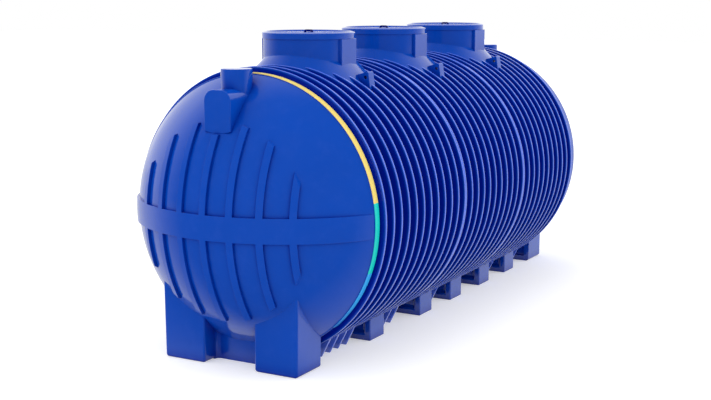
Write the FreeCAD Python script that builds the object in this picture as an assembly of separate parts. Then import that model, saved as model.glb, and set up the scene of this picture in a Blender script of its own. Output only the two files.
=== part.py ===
"""Horizontal ribbed polyethylene tank: three moulded wall modules, two domed ends, feet and manholes.

Millimetres, +X along the tank from the inlet end to the outlet end, +Z up.
The shapes are drawn about the tank's axis and raised so that the feet stand on Z = 0.
"""
import FreeCAD
import Part
import math
import os

V = FreeCAD.Vector
X_AXIS = V(1, 0, 0)
Y_AXIS = V(0, 1, 0)
Z_AXIS = V(0, 0, 1)
ORIGIN = V(0, 0, 0)

# Whole tank
LENGTH = 5940.0
AXIS_HEIGHT = 1212.0
WALL_T = 12.0

# Ribbed wall modules
MODULE_COUNT = 3
MODULE_LENGTH = 1385.0
WALL_R = 1100.0
FIN_R = 1200.0
FIN_T = 24.0
FLANGE_T = 25.0
FIN_DRAFT = 5.0
FINS_PER_MODULE = 9
FIN_PITCH = (MODULE_LENGTH - FLANGE_T) / (FINS_PER_MODULE + 1)
INNER_R = WALL_R - WALL_T

# Staves of one module: the crown, five on each side and a keel across the bottom
CROWN_ANGLE = 30.0
STAVES_PER_SIDE = 5
STAVE_ANGLE = (180.0 - CROWN_ANGLE) / (STAVES_PER_SIDE + 0.5)

# Flat shoes under the fins that stand clear of the feet
SHOE_HALF_FOOT = 524.0
SHOE_HALF_TOP = 609.0
SHOE_CLEARANCE = 100.0

# Domed ends
DOME_R = 1313.0
DOME_DEPTH = 670.0
RIM_R = 1154.0
RIM_LENGTH = 63.0
STRIPE_T = 3.0
STRIPE_ANGLES = {"yellow": (0.0, 81.0), "teal": (81.0, 109.5), "sky": (109.5, 138.0)}

# Raised belt and ribs on the domes
RELIEF_H = 26.0
BELT_HALF = 100.0
RIB_WIDTH = 58.0
RIB_PITCH = 231.0
RIBS_PER_SIDE = 3
RIB_END_R = 805.0
RELIEF_SWEEP = 65.0

# Pipe stubs on the domes
STUB_R = 127.5
STUB_SPIGOT = 75.0
STUB_ROOT_R = 107.0
STUB_SETBACK = {"inlet": 485.0, "outlet": 485.0}
EDGE_ROUND = 8.0
BOSS_HALF = 126.0
BOSS_CORNER_R = 90.0
BOSS_SETBACK = 206.0
BOSS_TOP = 1049.0
BOSS_LOW = 725.0
BOSS_SAG = 21.0

# Manholes
NECK_R = 394.0
NECK_TOP = 1402.0
SKIRT_TOP = 1233.0
SKIRT_SLOPE = 0.87
PAD_HALF = 126.0
PAD_LOW = 1138.0
LID_R = 403.0
LID_TOP = 1464.0
LID_RIM = 40.0
LID_DISH = 6.0
LID_ROUND = 16.0
LID_PLUG_DEPTH = 30.0
LID_PLUG_WALL = 22.0
LID_PLUG_GAP = 4.0
HANDLE_SPAN = 84.0
HANDLE_HEIGHT = 18.0
HANDLE_DEPTH = 26.0
HANDLE_BAR = 9.0
GRIP_HALF = (70.0, 30.0)
GRIP_DEPTH = 16.0
GRIP_ROUND = 14.0

# Lifting lugs on the middle fin of each module
LUG_T = 95.0
LUG_SINK = 30.0
LUG_OUTLINE = [(440.0, 1085.0), (602.0, 1134.0), (613.0, 1122.0), (662.0, 900.0)]
EYE_R = 13.0
EYE_Y = 585.0
EYE_Z = 1083.0

# Feet
FOOT_LENGTH = 260.0
FOOT_INNER = 230.0
FOOT_OUTER = 637.0
FOOT_FRAME = 55.0
FOOT_POCKET = 35.0
FOOT_ROUND = 10.0
FOOT_SHIFT = 15.0
FOOT_STATIONS = {1: [0.5], 2: [-2.5, 2.5], 3: [-2.5, 2.5]}
END_FOOT_REACH = (315.0, 677.0)
END_FOOT_INNER = 243.0
END_FOOT_OUTER = 646.0
END_FOOT_DRAFT = 12.0
END_FOOT_CORNER_R = 28.0
END_FOOT_ROUND = 20.0
END_FOOT_BAR_SETBACK = 180.0
END_FOOT_FILLET = 40.0

REACH = 2.0 * FIN_R
SAME_POINT = 0.001
DOME_X = -LENGTH / 2 + DOME_R
DOME_EDGE_X = -LENGTH / 2 + DOME_DEPTH
DOME_EDGE_R = math.sqrt(DOME_R**2 - (DOME_R - DOME_DEPTH)**2)
DOME_INNER_EDGE_R = math.sqrt((DOME_R - WALL_T)**2 - (DOME_R - DOME_DEPTH)**2)
RIM_END_X = DOME_EDGE_X + RIM_LENGTH
COLLAR_R = {"inlet": RIM_R, "outlet": DOME_EDGE_R}
SHELL_END_X = -MODULE_COUNT * MODULE_LENGTH / 2
MODULE_CENTRES = {n + 1: (n - (MODULE_COUNT - 1) / 2) * MODULE_LENGTH for n in range(MODULE_COUNT)}


def save(node, *solids):
    """Write one node, raised so that the feet stand on the ground."""
    shape = solids[0] if len(solids) == 1 else Part.makeCompound(list(solids))
    shape.translated(V(0, 0, AXIS_HEIGHT)).exportStep(f"parts/{node}.step")


def box(x, y, z):
    """A block between the low and high limits of each axis."""
    return Part.makeBox(x[1] - x[0], y[1] - y[0], z[1] - z[0], V(x[0], y[0], z[0]))


def polygon_face(points):
    return Part.Face(Part.makePolygon(points + points[:1]))


def axial_face(outline):
    """A face in the plane above the tank's axis, from (x, radius) points."""
    return polygon_face([V(x, 0, r) for x, r in outline])


def turned(face, start=0.0, sweep=360.0):
    """The face turned about the tank's axis, from an angle measured at the crown."""
    first = face.rotated(ORIGIN, X_AXIS, start)
    return first.revolve(ORIGIN, X_AXIS, sweep)


def across_x(outline, x, thickness):
    """A plate across the tank, from (y, z) points."""
    face = polygon_face([V(x, y, z) for y, z in outline])
    return face.extrude(V(thickness, 0, 0))


def axial_cylinder(radius, x_low=-REACH * 2, x_high=REACH * 2):
    return Part.makeCylinder(radius, x_high - x_low, V(x_low, 0, 0), X_AXIS)


def other_end(shape):
    return shape.mirror(ORIGIN, X_AXIS)


def other_side(shape):
    return shape.mirror(ORIGIN, Y_AXIS)


def rounded(solid, radius, chosen):
    """The solid with the edges rounded whose boxes are chosen."""
    return solid.makeFillet(radius, [edge for edge in solid.Edges if chosen(edge.BoundBox)])


def upright_edge(limits):
    return limits.ZLength > max(limits.XLength, limits.YLength)


def fin_span(middle):
    return (middle - FIN_T / 2, middle + FIN_T / 2, FIN_R)


def wall_spans(number):
    """What stands out from one module's wall, in order along the tank, as (low x, high x, radius)."""
    centre, half = MODULE_CENTRES[number], MODULE_LENGTH / 2
    steps = FINS_PER_MODULE // 2
    spans = [(centre - half, centre - half + FLANGE_T, FIN_R)]
    spans += [fin_span(centre + k * FIN_PITCH) for k in range(-steps, steps + 1)]
    spans += [(centre + half - FLANGE_T, centre + half, FIN_R)]
    if number == 1:
        end_fin = fin_span(SHELL_END_X + FLANGE_T / 2 - FIN_PITCH)
        spans = [(DOME_EDGE_X, RIM_END_X, COLLAR_R["inlet"]), end_fin] + spans
    if number == MODULE_COUNT:
        spans += [(-SHELL_END_X, -DOME_EDGE_X, COLLAR_R["outlet"])]
    return spans


def ribbed_outline(spans):
    """Section of a ribbed wall, from its inner face to the rims of its fins, which widen to their roots."""
    outline = [(spans[0][0], INNER_R)]
    for n, (low, high, radius) in enumerate(spans):
        if n and low > spans[n - 1][1]:
            outline += [(spans[n - 1][1] + FIN_DRAFT, WALL_R), (low - FIN_DRAFT, WALL_R)]
        outline += [(low, radius), (high, radius)]
    return outline + [(spans[-1][1], INNER_R)]


def foot_places(number):
    """Where the side feet of one module stand along the tank."""
    return [MODULE_CENTRES[number] + station * FIN_PITCH + FOOT_SHIFT for station in FOOT_STATIONS[number]]


def shoe(low, high):
    """Flat-bottomed shoe that squares off one fin where it comes down to the ground."""
    shoulder = -math.sqrt(FIN_R**2 - SHOE_HALF_TOP**2)
    outline = [(-SHOE_HALF_FOOT, -FIN_R), (SHOE_HALF_FOOT, -FIN_R),
               (SHOE_HALF_TOP, shoulder), (-SHOE_HALF_TOP, shoulder)]
    return across_x(outline, low, high - low).cut(axial_cylinder((WALL_R + FIN_R) / 2))


def fin_shoes(number, spans):
    """Shoes under the fins of one module that stand clear of the feet and of the seams between modules."""
    spared = [(x, FOOT_LENGTH / 2 + SHOE_CLEARANCE) for x in foot_places(number)]
    spared += [(seam * MODULE_LENGTH / 2, SHOE_CLEARANCE) for seam in (-1, 1)]
    fins = [(low, high) for low, high, radius in spans if radius == FIN_R and low >= SHELL_END_X]
    return [shoe(low, high) for low, high in fins
            if all(abs((low + high) / 2 - x) > reach for x, reach in spared)]


def stave(section, shoes, start, sweep):
    """One stave of the wall, with its share of the shoes under it."""
    wall = turned(section, start, sweep)
    limits = section.BoundBox
    low, high = limits.XMin, limits.XMax
    wedge = turned(axial_face([(low, 0), (low, REACH), (high, REACH), (high, 0)]), start, sweep)
    share = [piece for block in shoes for piece in block.common(wedge).Solids]
    return wall.fuse(share).removeSplitter() if share else wall


def wall_staves(number):
    """The staves of one module. Those of a pair of nodes take turns, so that no two in a node touch."""
    spans = wall_spans(number)
    section, shoes = axial_face(ribbed_outline(spans)), fin_shoes(number, spans)
    manhole = Part.makeCylinder(NECK_R, REACH, V(MODULE_CENTRES[number], 0, 0), Z_AXIS)
    crown = turned(section, -CROWN_ANGLE, 2 * CROWN_ANGLE).cut(manhole)
    staves = {"crown": [crown], "staves_a": [], "staves_b": []}
    for n in range(STAVES_PER_SIDE):
        side = stave(section, shoes, CROWN_ANGLE + n * STAVE_ANGLE, STAVE_ANGLE)
        staves["staves_b" if n % 2 else "staves_a"] += [side, other_side(side)]
    staves["keel"] = [stave(section, shoes, 180.0 - STAVE_ANGLE / 2, STAVE_ANGLE)]
    return staves


def cap_arc(radius, r_end):
    """Meridian of the dome, from its apex to a given distance from the axis."""
    end = V(DOME_X - math.sqrt(radius**2 - r_end**2), 0, r_end)
    apex = V(DOME_X - radius, 0, 0)
    half_angle = math.asin(r_end / radius) / 2
    middle = V(DOME_X - radius * math.cos(half_angle), 0, radius * math.sin(half_angle))
    return Part.Arc(apex, middle, end).toShape()


def dome_shell():
    """Domed end, from its apex to the rim of the wall beside it."""
    outer, inner = cap_arc(DOME_R, DOME_EDGE_R), cap_arc(DOME_R - WALL_T, DOME_INNER_EDGE_R)
    ends = [(outer.Vertexes[i].Point, inner.Vertexes[i].Point) for i in (0, -1)]
    edges = [outer, inner] + [Part.makeLine(a, b) for a, b in ends]
    return turned(Part.Face(Part.Wire(Part.__sortEdges__(edges))))


def dome_envelope(collar_r):
    """Everything inside the dome's outer face and the collar behind it."""
    arc = cap_arc(DOME_R, DOME_EDGE_R)
    corners = [arc.Vertexes[-1].Point, V(DOME_EDGE_X, 0, 0), arc.Vertexes[0].Point]
    edges = [arc] + [Part.makeLine(a, b) for a, b in zip(corners, corners[1:])]
    cap = turned(Part.Face(Part.Wire(Part.__sortEdges__(edges))))
    return cap.fuse(axial_cylinder(collar_r, DOME_EDGE_X, RIM_END_X))


def relief_face(low, high, across):
    """Section of a raised strip on the dome, with walls square to the dome, between two angles."""
    def corner(radius, angle):
        return V(DOME_X, 0, 0) - X_AXIS * (radius * math.cos(angle)) + across * (radius * math.sin(angle))

    inner, outer, middle = DOME_R, DOME_R + RELIEF_H, (low + high) / 2
    edges = [Part.Arc(corner(r, low), corner(r, middle), corner(r, high)).toShape() for r in (inner, outer)]
    edges += [Part.makeLine(corner(inner, a), corner(outer, a)) for a in (low, high)]
    return Part.Face(Part.Wire(Part.__sortEdges__(edges)))


def relief_strip(low, high, axis):
    """The section swept over the dome about an axis through the dome's centre."""
    centre = V(DOME_X, 0, 0)
    first = relief_face(low, high, axis).rotated(centre, axis, -RELIEF_SWEEP)
    return first.revolve(centre, axis, 2 * RELIEF_SWEEP)


def belt_zone():
    """The level slice in front of the wall that the belt fills."""
    return box((-LENGTH, DOME_EDGE_X), (-REACH, REACH), (-BELT_HALF, BELT_HALF))


def belt():
    """Level belt across the whole dome."""
    angle = 2 * BELT_HALF / DOME_R
    return relief_strip(-angle, angle, Z_AXIS).common(belt_zone())


def dome_ribs(boss):
    """Upright ribs over and under the belt, ending on one circle about the axis."""
    half = RIB_WIDTH / 2 / DOME_R
    field = axial_cylinder(RIB_END_R, -LENGTH, DOME_X).cut(belt_zone())
    ribs = []
    for n in range(-RIBS_PER_SIDE, RIBS_PER_SIDE + 1):
        middle = math.asin(n * RIB_PITCH / DOME_R)
        strip = relief_strip(middle - half, middle + half, Y_AXIS)
        ribs += strip.common(field).cut(boss).Solids
    return ribs


def corner_arc(start, corner, end):
    """Quarter circle that rounds a square corner between two points at the same distance from it."""
    middle = (start + end) * 0.5
    return Part.Arc(start, middle + (corner - middle) * (math.sqrt(2) - 1), end).toShape()


def stub_boss(envelope):
    """Boss on the dome, in front of the pipe stub, with a round-cornered top and a sagging underside."""
    x = -LENGTH / 2 + BOSS_SETBACK
    side_z, top_y = BOSS_TOP - BOSS_CORNER_R, BOSS_HALF - BOSS_CORNER_R
    left = [V(x, BOSS_HALF, BOSS_LOW), V(x, BOSS_HALF, side_z), V(x, top_y, BOSS_TOP)]
    right = [other_side(Part.Vertex(point)).Point for point in left]
    edges = [Part.makeLine(left[0], left[1]), corner_arc(left[1], V(x, BOSS_HALF, BOSS_TOP), left[2]),
             Part.makeLine(left[2], right[2]), corner_arc(right[2], V(x, -BOSS_HALF, BOSS_TOP), right[1]),
             Part.makeLine(right[1], right[0]),
             Part.Arc(right[0], V(x, 0, BOSS_LOW - BOSS_SAG), left[0]).toShape()]
    block = Part.Face(Part.Wire(edges)).extrude(V(DOME_EDGE_X - x, 0, 0))
    return rounded(block, EDGE_ROUND, lambda limits: limits.XMax < x + SAME_POINT).cut(envelope)


def pipe_stub(envelope, boss, setback):
    """Upright blank pipe stub behind the boss: a straight spigot on a root that narrows downwards."""
    x, shoulder = -LENGTH / 2 + setback, FIN_R - STUB_SPIGOT - EDGE_ROUND
    spigot = Part.makeCylinder(STUB_R, FIN_R - shoulder, V(x, 0, shoulder), Z_AXIS)
    spigot = rounded(spigot, EDGE_ROUND, lambda limits: limits.ZMin > FIN_R - SAME_POINT)
    root = Part.makeCone(STUB_ROOT_R, STUB_R, shoulder - BOSS_LOW, V(x, 0, BOSS_LOW), Z_AXIS)
    return spigot.fuse(root).cut(envelope).cut(boss)


def rim_stripe(start, end):
    """One colour of the stripe that runs down one side of the inlet rim."""
    outline = [(DOME_EDGE_X, RIM_R), (DOME_EDGE_X, RIM_R + STRIPE_T),
               (RIM_END_X, RIM_R + STRIPE_T), (RIM_END_X, RIM_R)]
    return turned(axial_face(outline), start, end - start)


def manhole_neck():
    """Round neck with a flared skirt on the fins and a flat pad on each side."""
    skirt_r = NECK_R + (SKIRT_TOP - WALL_R) * SKIRT_SLOPE * 2
    skirt_low = SKIRT_TOP - (skirt_r - NECK_R) / SKIRT_SLOPE
    skirt = Part.makeCone(skirt_r, NECK_R, SKIRT_TOP - skirt_low, V(0, 0, skirt_low), Z_AXIS)
    pads = box((-PAD_HALF, PAD_HALF), (-LID_R, LID_R), (PAD_LOW, NECK_TOP))
    tube = Part.makeCylinder(NECK_R, NECK_TOP, ORIGIN, Z_AXIS).cut(axial_cylinder(INNER_R))
    flare = skirt.fuse(pads).cut(axial_cylinder(FIN_R))
    bore = Part.makeCylinder(NECK_R - WALL_T, REACH, ORIGIN, Z_AXIS)
    return tube.fuse(flare).cut(bore).removeSplitter()


def manhole_lid():
    """Lid with a raised rim round a shallow dish, a grip pocket, and a ring that locates it in the neck."""
    ring_r, ring_low = NECK_R - WALL_T - LID_PLUG_GAP, NECK_TOP - LID_PLUG_DEPTH
    ring_inner = ring_r - LID_PLUG_WALL
    dish_r, dish_z = LID_R - LID_RIM, LID_TOP - LID_DISH
    outline = [(0, NECK_TOP), (ring_inner, NECK_TOP), (ring_inner, ring_low), (ring_r, ring_low),
               (ring_r, NECK_TOP), (LID_R, NECK_TOP), (LID_R, LID_TOP), (dish_r, LID_TOP),
               (dish_r - LID_DISH, dish_z), (0, dish_z)]
    lid = polygon_face([V(r, 0, z) for r, z in outline]).revolve(ORIGIN, Z_AXIS, 360.0)
    brim = (dish_r + LID_R) / 2
    lid = rounded(lid, LID_ROUND, lambda limits: limits.ZMin > LID_TOP - SAME_POINT and limits.XMax > brim)
    pocket = box((-GRIP_HALF[0], GRIP_HALF[0]), (-GRIP_HALF[1], GRIP_HALF[1]), (dish_z - GRIP_DEPTH, LID_TOP))
    return lid.cut(rounded(pocket, GRIP_ROUND, upright_edge))


def lid_handle():
    """Low bridge handle over the lid's grip pocket."""
    low = LID_TOP - LID_DISH
    high = low + HANDLE_HEIGHT
    half, reach = HANDLE_SPAN / 2, GRIP_HALF[1]
    outline = [(-half, low), (half, low), (half - HANDLE_BAR / 2, high), (HANDLE_BAR / 2 - half, high)]
    bridge = across_x(outline, -HANDLE_DEPTH / 2, HANDLE_DEPTH)
    return bridge.cut(box((-HANDLE_DEPTH, HANDLE_DEPTH), (-reach, reach), (low, high - HANDLE_BAR)))


def lifting_lug(neck):
    """Ear on the rim of the middle fin, beside the manhole, with an eye along the tank."""
    base = [(LUG_OUTLINE[-1][0], WALL_R / 2), (LUG_OUTLINE[0][0], WALL_R / 2)]
    ear = across_x(LUG_OUTLINE + base, -LUG_T / 2, LUG_T)
    fin = axial_cylinder(FIN_R, -FIN_T / 2 - FIN_DRAFT, FIN_T / 2 + FIN_DRAFT)
    eye = Part.makeCylinder(EYE_R, LUG_T, V(-LUG_T / 2, EYE_Y, EYE_Z), X_AXIS)
    return ear.cut(axial_cylinder(FIN_R - LUG_SINK)).cut(fin).cut(eye).cut(neck)


def side_foot():
    """Block foot under two fins, with a pocket in its front and back faces."""
    half = FOOT_LENGTH / 2
    block = box((-half, half), (FOOT_INNER, FOOT_OUTER), (-AXIS_HEIGHT, 0))
    pocket = box((-half, FOOT_POCKET - half), (FOOT_INNER + FOOT_FRAME, FOOT_OUTER - FOOT_FRAME),
                 (FOOT_FRAME - AXIS_HEIGHT, 0))
    foot = rounded(block, FOOT_ROUND, upright_edge).cut(pocket).cut(other_end(pocket))
    return foot.cut(axial_cylinder(FIN_R))


def end_leg(front, back):
    """One leg of an end foot, round at its foot and its front, with a pocket in its back face."""
    low, high, corner = -AXIS_HEIGHT, -BELT_HALF, END_FOOT_CORNER_R
    inner, outer = END_FOOT_INNER, END_FOOT_OUTER
    inner_low, inner_foot = V(front, inner, low + corner), V(front, inner + corner, low)
    outer_foot, outer_low = V(front, outer - corner, low), V(front, outer, low + corner)
    inner_top, outer_top = V(front, inner, high), V(front, outer + END_FOOT_DRAFT, high)
    edges = [Part.makeLine(inner_top, inner_low), corner_arc(inner_low, V(front, inner, low), inner_foot),
             Part.makeLine(inner_foot, outer_foot), corner_arc(outer_foot, V(front, outer, low), outer_low),
             Part.makeLine(outer_low, outer_top), Part.makeLine(outer_top, inner_top)]
    block = Part.Face(Part.Wire(edges)).extrude(V(back - front, 0, 0))
    leg = rounded(block, END_FOOT_ROUND,
                  lambda limits: limits.XMax < front + SAME_POINT and limits.ZMin < high)
    pocket = box((back - FOOT_POCKET, back), (inner + FOOT_FRAME, outer - FOOT_FRAME),
                 (low + FOOT_FRAME, high))
    return leg.cut(pocket)


def bar_fillet(x):
    """Hollow-faced corner piece between the bar of an end foot and one leg."""
    root, inner, radius = END_FOOT_INNER + END_FOOT_CORNER_R, END_FOOT_INNER, END_FOOT_FILLET
    on_leg, on_bar = V(x - radius, inner, -AXIS_HEIGHT), V(x, inner - radius, -AXIS_HEIGHT)
    back, front = V(x, root, -AXIS_HEIGHT), V(x - radius, root, -AXIS_HEIGHT)
    hollow = corner_arc(on_leg, V(x, inner, -AXIS_HEIGHT), on_bar)
    edges = [hollow, Part.makeLine(on_bar, back), Part.makeLine(back, front), Part.makeLine(front, on_leg)]
    return Part.Face(Part.Wire(edges)).extrude(V(0, 0, AXIS_HEIGHT - BELT_HALF))


def end_foot(envelope):
    """Two legs under the dome, joined by a set-back bar."""
    front, back = -LENGTH / 2 + END_FOOT_REACH[0], -LENGTH / 2 + END_FOOT_REACH[1]
    bar_x, bar_end = front + END_FOOT_BAR_SETBACK, END_FOOT_INNER + END_FOOT_CORNER_R
    bar = box((bar_x, back), (-bar_end, bar_end), (-AXIS_HEIGHT, -BELT_HALF))
    leg, fillet = end_leg(front, back), bar_fillet(bar_x)
    foot = bar.fuse([leg, fillet, other_side(leg), other_side(fillet)])
    return foot.cut(envelope).removeSplitter()


def save_modules():
    neck, lid, handle = manhole_neck(), manhole_lid(), lid_handle()
    lug, foot = lifting_lug(neck), side_foot()
    for number, centre in MODULE_CENTRES.items():
        place = V(centre, 0, 0)
        for name, staves in wall_staves(number).items():
            save(f"module_{number}_{name}", *staves)
        save(f"manhole_neck_{number}", neck.translated(place))
        save(f"manhole_lid_{number}", lid.translated(place))
        save(f"lid_handle_{number}", handle.translated(place))
        save(f"lifting_lugs_{number}", lug.translated(place), other_side(lug).translated(place))
        for letter, x in zip("ab", foot_places(number)):
            pair = [side.translated(V(x, 0, 0)) for side in (foot, other_side(foot))]
            save(f"feet_{number}{letter}", *pair)


def save_ends():
    dome, strap = dome_shell(), belt()
    for colour, (start, end) in STRIPE_ANGLES.items():
        save(f"rim_stripe_{colour}", rim_stripe(start, end))
    for name, turn in (("inlet", lambda s: s), ("outlet", other_end)):
        envelope = dome_envelope(COLLAR_R[name])
        boss = stub_boss(envelope)
        stub, foot = pipe_stub(envelope, boss, STUB_SETBACK[name]), end_foot(envelope)
        pieces = {"dome": [dome], "dome_belt": [strap], "dome_ribs": dome_ribs(boss),
                  "boss": [boss], "stub": [stub], "foot": [foot]}
        for piece, solids in pieces.items():
            save(f"{name}_{piece}", *[turn(solid) for solid in solids])


os.makedirs("parts", exist_ok=True)
save_modules()
save_ends()
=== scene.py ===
"""Skin, fittings and finishes of a ribbed plastic storage tank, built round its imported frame.

Metres, +X along the tank from the inlet end to the outlet end, +Z up, feet on Z = 0.
"""
import math
from collections import namedtuple

import bmesh
import bpy
from mathutils import Matrix, Vector


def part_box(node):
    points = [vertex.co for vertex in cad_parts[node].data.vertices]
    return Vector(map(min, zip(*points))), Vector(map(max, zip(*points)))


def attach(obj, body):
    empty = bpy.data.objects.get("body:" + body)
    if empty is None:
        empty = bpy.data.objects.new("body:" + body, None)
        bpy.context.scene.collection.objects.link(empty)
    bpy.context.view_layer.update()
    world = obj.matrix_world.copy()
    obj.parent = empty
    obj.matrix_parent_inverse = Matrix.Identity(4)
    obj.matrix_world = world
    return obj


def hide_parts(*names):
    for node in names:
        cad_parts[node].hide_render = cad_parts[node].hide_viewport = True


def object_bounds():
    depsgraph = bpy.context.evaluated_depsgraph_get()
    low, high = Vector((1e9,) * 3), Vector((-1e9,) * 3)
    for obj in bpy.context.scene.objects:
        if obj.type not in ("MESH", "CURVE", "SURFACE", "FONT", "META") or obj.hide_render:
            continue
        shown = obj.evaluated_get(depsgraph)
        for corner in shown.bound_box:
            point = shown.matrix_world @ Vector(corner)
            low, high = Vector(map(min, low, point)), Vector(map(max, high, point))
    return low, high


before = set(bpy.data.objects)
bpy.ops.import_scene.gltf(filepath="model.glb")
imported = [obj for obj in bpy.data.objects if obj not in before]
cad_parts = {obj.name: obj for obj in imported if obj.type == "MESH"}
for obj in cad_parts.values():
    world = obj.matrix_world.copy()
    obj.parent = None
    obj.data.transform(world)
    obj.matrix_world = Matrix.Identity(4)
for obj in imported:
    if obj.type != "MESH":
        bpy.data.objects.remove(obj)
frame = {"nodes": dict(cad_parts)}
CAD_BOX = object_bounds()

bl_info = {
    "name": "Ribbed storage tank",
    "version": (1, 0, 0),
    "blender": (4, 5, 0),
    "location": "View3D > Sidebar > Tank",
    "description": "Builds the skin, the fittings and the finishes of a ribbed plastic tank",
    "category": "Mesh",
}

BODY = "root"
ENDS = ("inlet", "outlet")
SIDES = (-1.0, 1.0)
MODULES = (1, 2, 3)
FULL_TURN = 2.0 * math.pi
X_AXIS, Y_AXIS, Z_AXIS = Vector((1, 0, 0)), Vector((0, 1, 0)), Vector((0, 0, 1))
# Points this close are merged, and points this near to a marked ring belong to it
MERGE = 0.00002
MARK_REACH = 10 * MERGE
# Edges that bend more than this count as sharp, and a face looks along an axis when its normal has this share
SHARP_ANGLE = math.radians(34.0)
FACING = 0.9
# Rounds in which the lower edge of a skirt settles
SETTLE_ROUNDS = 200


def reach(node, axis):
    """Lowest and highest place of a node along one axis of the frame."""
    index = "xyz".index(axis)
    lowest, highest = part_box(node)
    return lowest[index], highest[index]


def extent(node, axis):
    """Length of a node along one axis of the frame."""
    lowest, highest = reach(node, axis)
    return highest - lowest


FIN_RADIUS = extent("module_2_staves_a", "y") / 2
AXIS_Z = reach("module_2_crown", "z")[1] - FIN_RADIUS
MODULE_LENGTH = extent("module_2_crown", "x")
MODULE_CENTRES = {n: sum(reach(f"manhole_lid_{n}", "x")) / 2 for n in MODULES}
DOME_TIP_X, DOME_EDGE_X = reach("inlet_dome", "x")
DOME_DEPTH = DOME_EDGE_X - DOME_TIP_X
DOME_EDGE_RADIUS = extent("inlet_dome", "y") / 2
DOME_RADIUS = (DOME_EDGE_RADIUS**2 + DOME_DEPTH**2) / (2 * DOME_DEPTH)
DOME_CENTRE = Vector((DOME_TIP_X + DOME_RADIUS, 0, AXIS_Z))
STRIPE_RADIUS = reach("rim_stripe_yellow", "z")[1] - AXIS_Z
NECK_TOP = reach("manhole_neck_1", "z")[1]
LAST_FIN_X = MODULE_CENTRES[MODULES[-1]] + MODULE_LENGTH / 2
FIN_HEIGHT = 0.100

# Noise patterns of the finishes. Levels from low to high are spread out, what lies beyond is cut off.
Pattern = namedtuple("Pattern", "scale detail roughness low high")
CLOUDS = Pattern(scale=1.6, detail=4.0, roughness=0.6, low=0.30, high=0.70)
FLOW_LINES = Pattern(scale=3.0, detail=6.0, roughness=0.65, low=0.50, high=0.80)
GLOSS = Pattern(scale=5.0, detail=5.0, roughness=0.6, low=0.25, high=0.75)
SCUFFS = Pattern(scale=9.0, detail=5.0, roughness=0.65, low=0.50, high=0.75)
RIM_HIGHLIGHT_PATCHES = Pattern(scale=6.0, detail=5.0, roughness=0.65, low=0.25, high=0.75)
FILM_SPECKLE = Pattern(scale=60.0, detail=3.0, roughness=0.55, low=0.3, high=0.7)
FILM_GLOSS = Pattern(scale=14.0, detail=4.0, roughness=0.55, low=0.3, high=0.7)
FLOOR_GRAIN = Pattern(scale=40.0, detail=3.0, roughness=0.55, low=0.3, high=0.7)

# How strongly each pattern shows, and how much darker or paler it makes a colour
CLOUD_DARK, CLOUD_PALE = 0.97, 1.03
FLOW_STRETCH, FLOW_STRENGTH, FLOW_DARK = (7.0, 7.0, 0.7), 0.10, 0.84
GLOSS_BELOW, GLOSS_ABOVE = 0.03, 0.04
SCUFF_STRENGTH = 0.03
# Painted rim highlight: the least and the most of it in its uneven patches
RIM_HIGHLIGHT_LEAST, RIM_HIGHLIGHT_MOST = 0.54, 0.90
FILM_DARK, FILM_PALE, FILM_ROUGHNESS = 0.95, 1.03, (0.30, 0.42)
FADE_STRENGTH = 0.5
FLOOR_DARK = 0.985
WHITE = (1, 1, 1, 1)

# Bumps of the moulded skin, depths under the rim of a fin for the painted rim highlight and the painted shade
# between the fins, and how the painted shade in corners darkens them
PEEL_DEPTH, WAVE_DEPTH, WAVE_SCALE = 0.002, 0.02, 3.1
RIM_HIGHLIGHT_FADES, RIM_HIGHLIGHT_FULL = 0.005, 0.0005
FIN_GAP_SHADE_STARTS, FIN_GAP_SHADE_FULL, FIN_GAP_SHADE_FADE = 0.003, 0.020, 0.004
CORNER_SHADE_REACH, CORNER_SHADE_OPEN, CORNER_SHADE_CLOSED, CORNER_SHADE_STRENGTH = 0.15, 0.85, 0.35, 0.85
CORNER_SHINE = 0.1

# Mirrored surroundings: where the mirrored floor is centred, and over which headings it and the sky brighten
MIRROR_CENTRE = Vector((0.90 * DOME_TIP_X, 0, 0))
MIRROR_BLUR = 0.3
FLOOR_BRIGHTENS, SKY_BRIGHTENS = (-0.35, 0.25), (0.0, 0.6)
FLOOR_HALF = 60.0


def length(name, description, default):
    return bpy.props.FloatProperty(name=name, description=description, default=default,
                                   unit="LENGTH", precision=4)


def count(name, description, default):
    return bpy.props.IntProperty(name=name, description=description, default=default, min=1)


def share(name, description, default):
    return bpy.props.FloatProperty(name=name, description=description, default=default,
                                   subtype="FACTOR", min=0, max=1)


def strength(name, description, default):
    return bpy.props.FloatProperty(name=name, description=description, default=default, min=0)


def colour(name, description, default):
    return bpy.props.FloatVectorProperty(name=name, description=description, default=default,
                                         subtype="COLOR", size=4, min=0, max=1)


def direction_angle(name, description, default):
    return bpy.props.FloatProperty(name=name, description=description, default=math.radians(default),
                                   subtype="ANGLE", unit="ROTATION")


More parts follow.
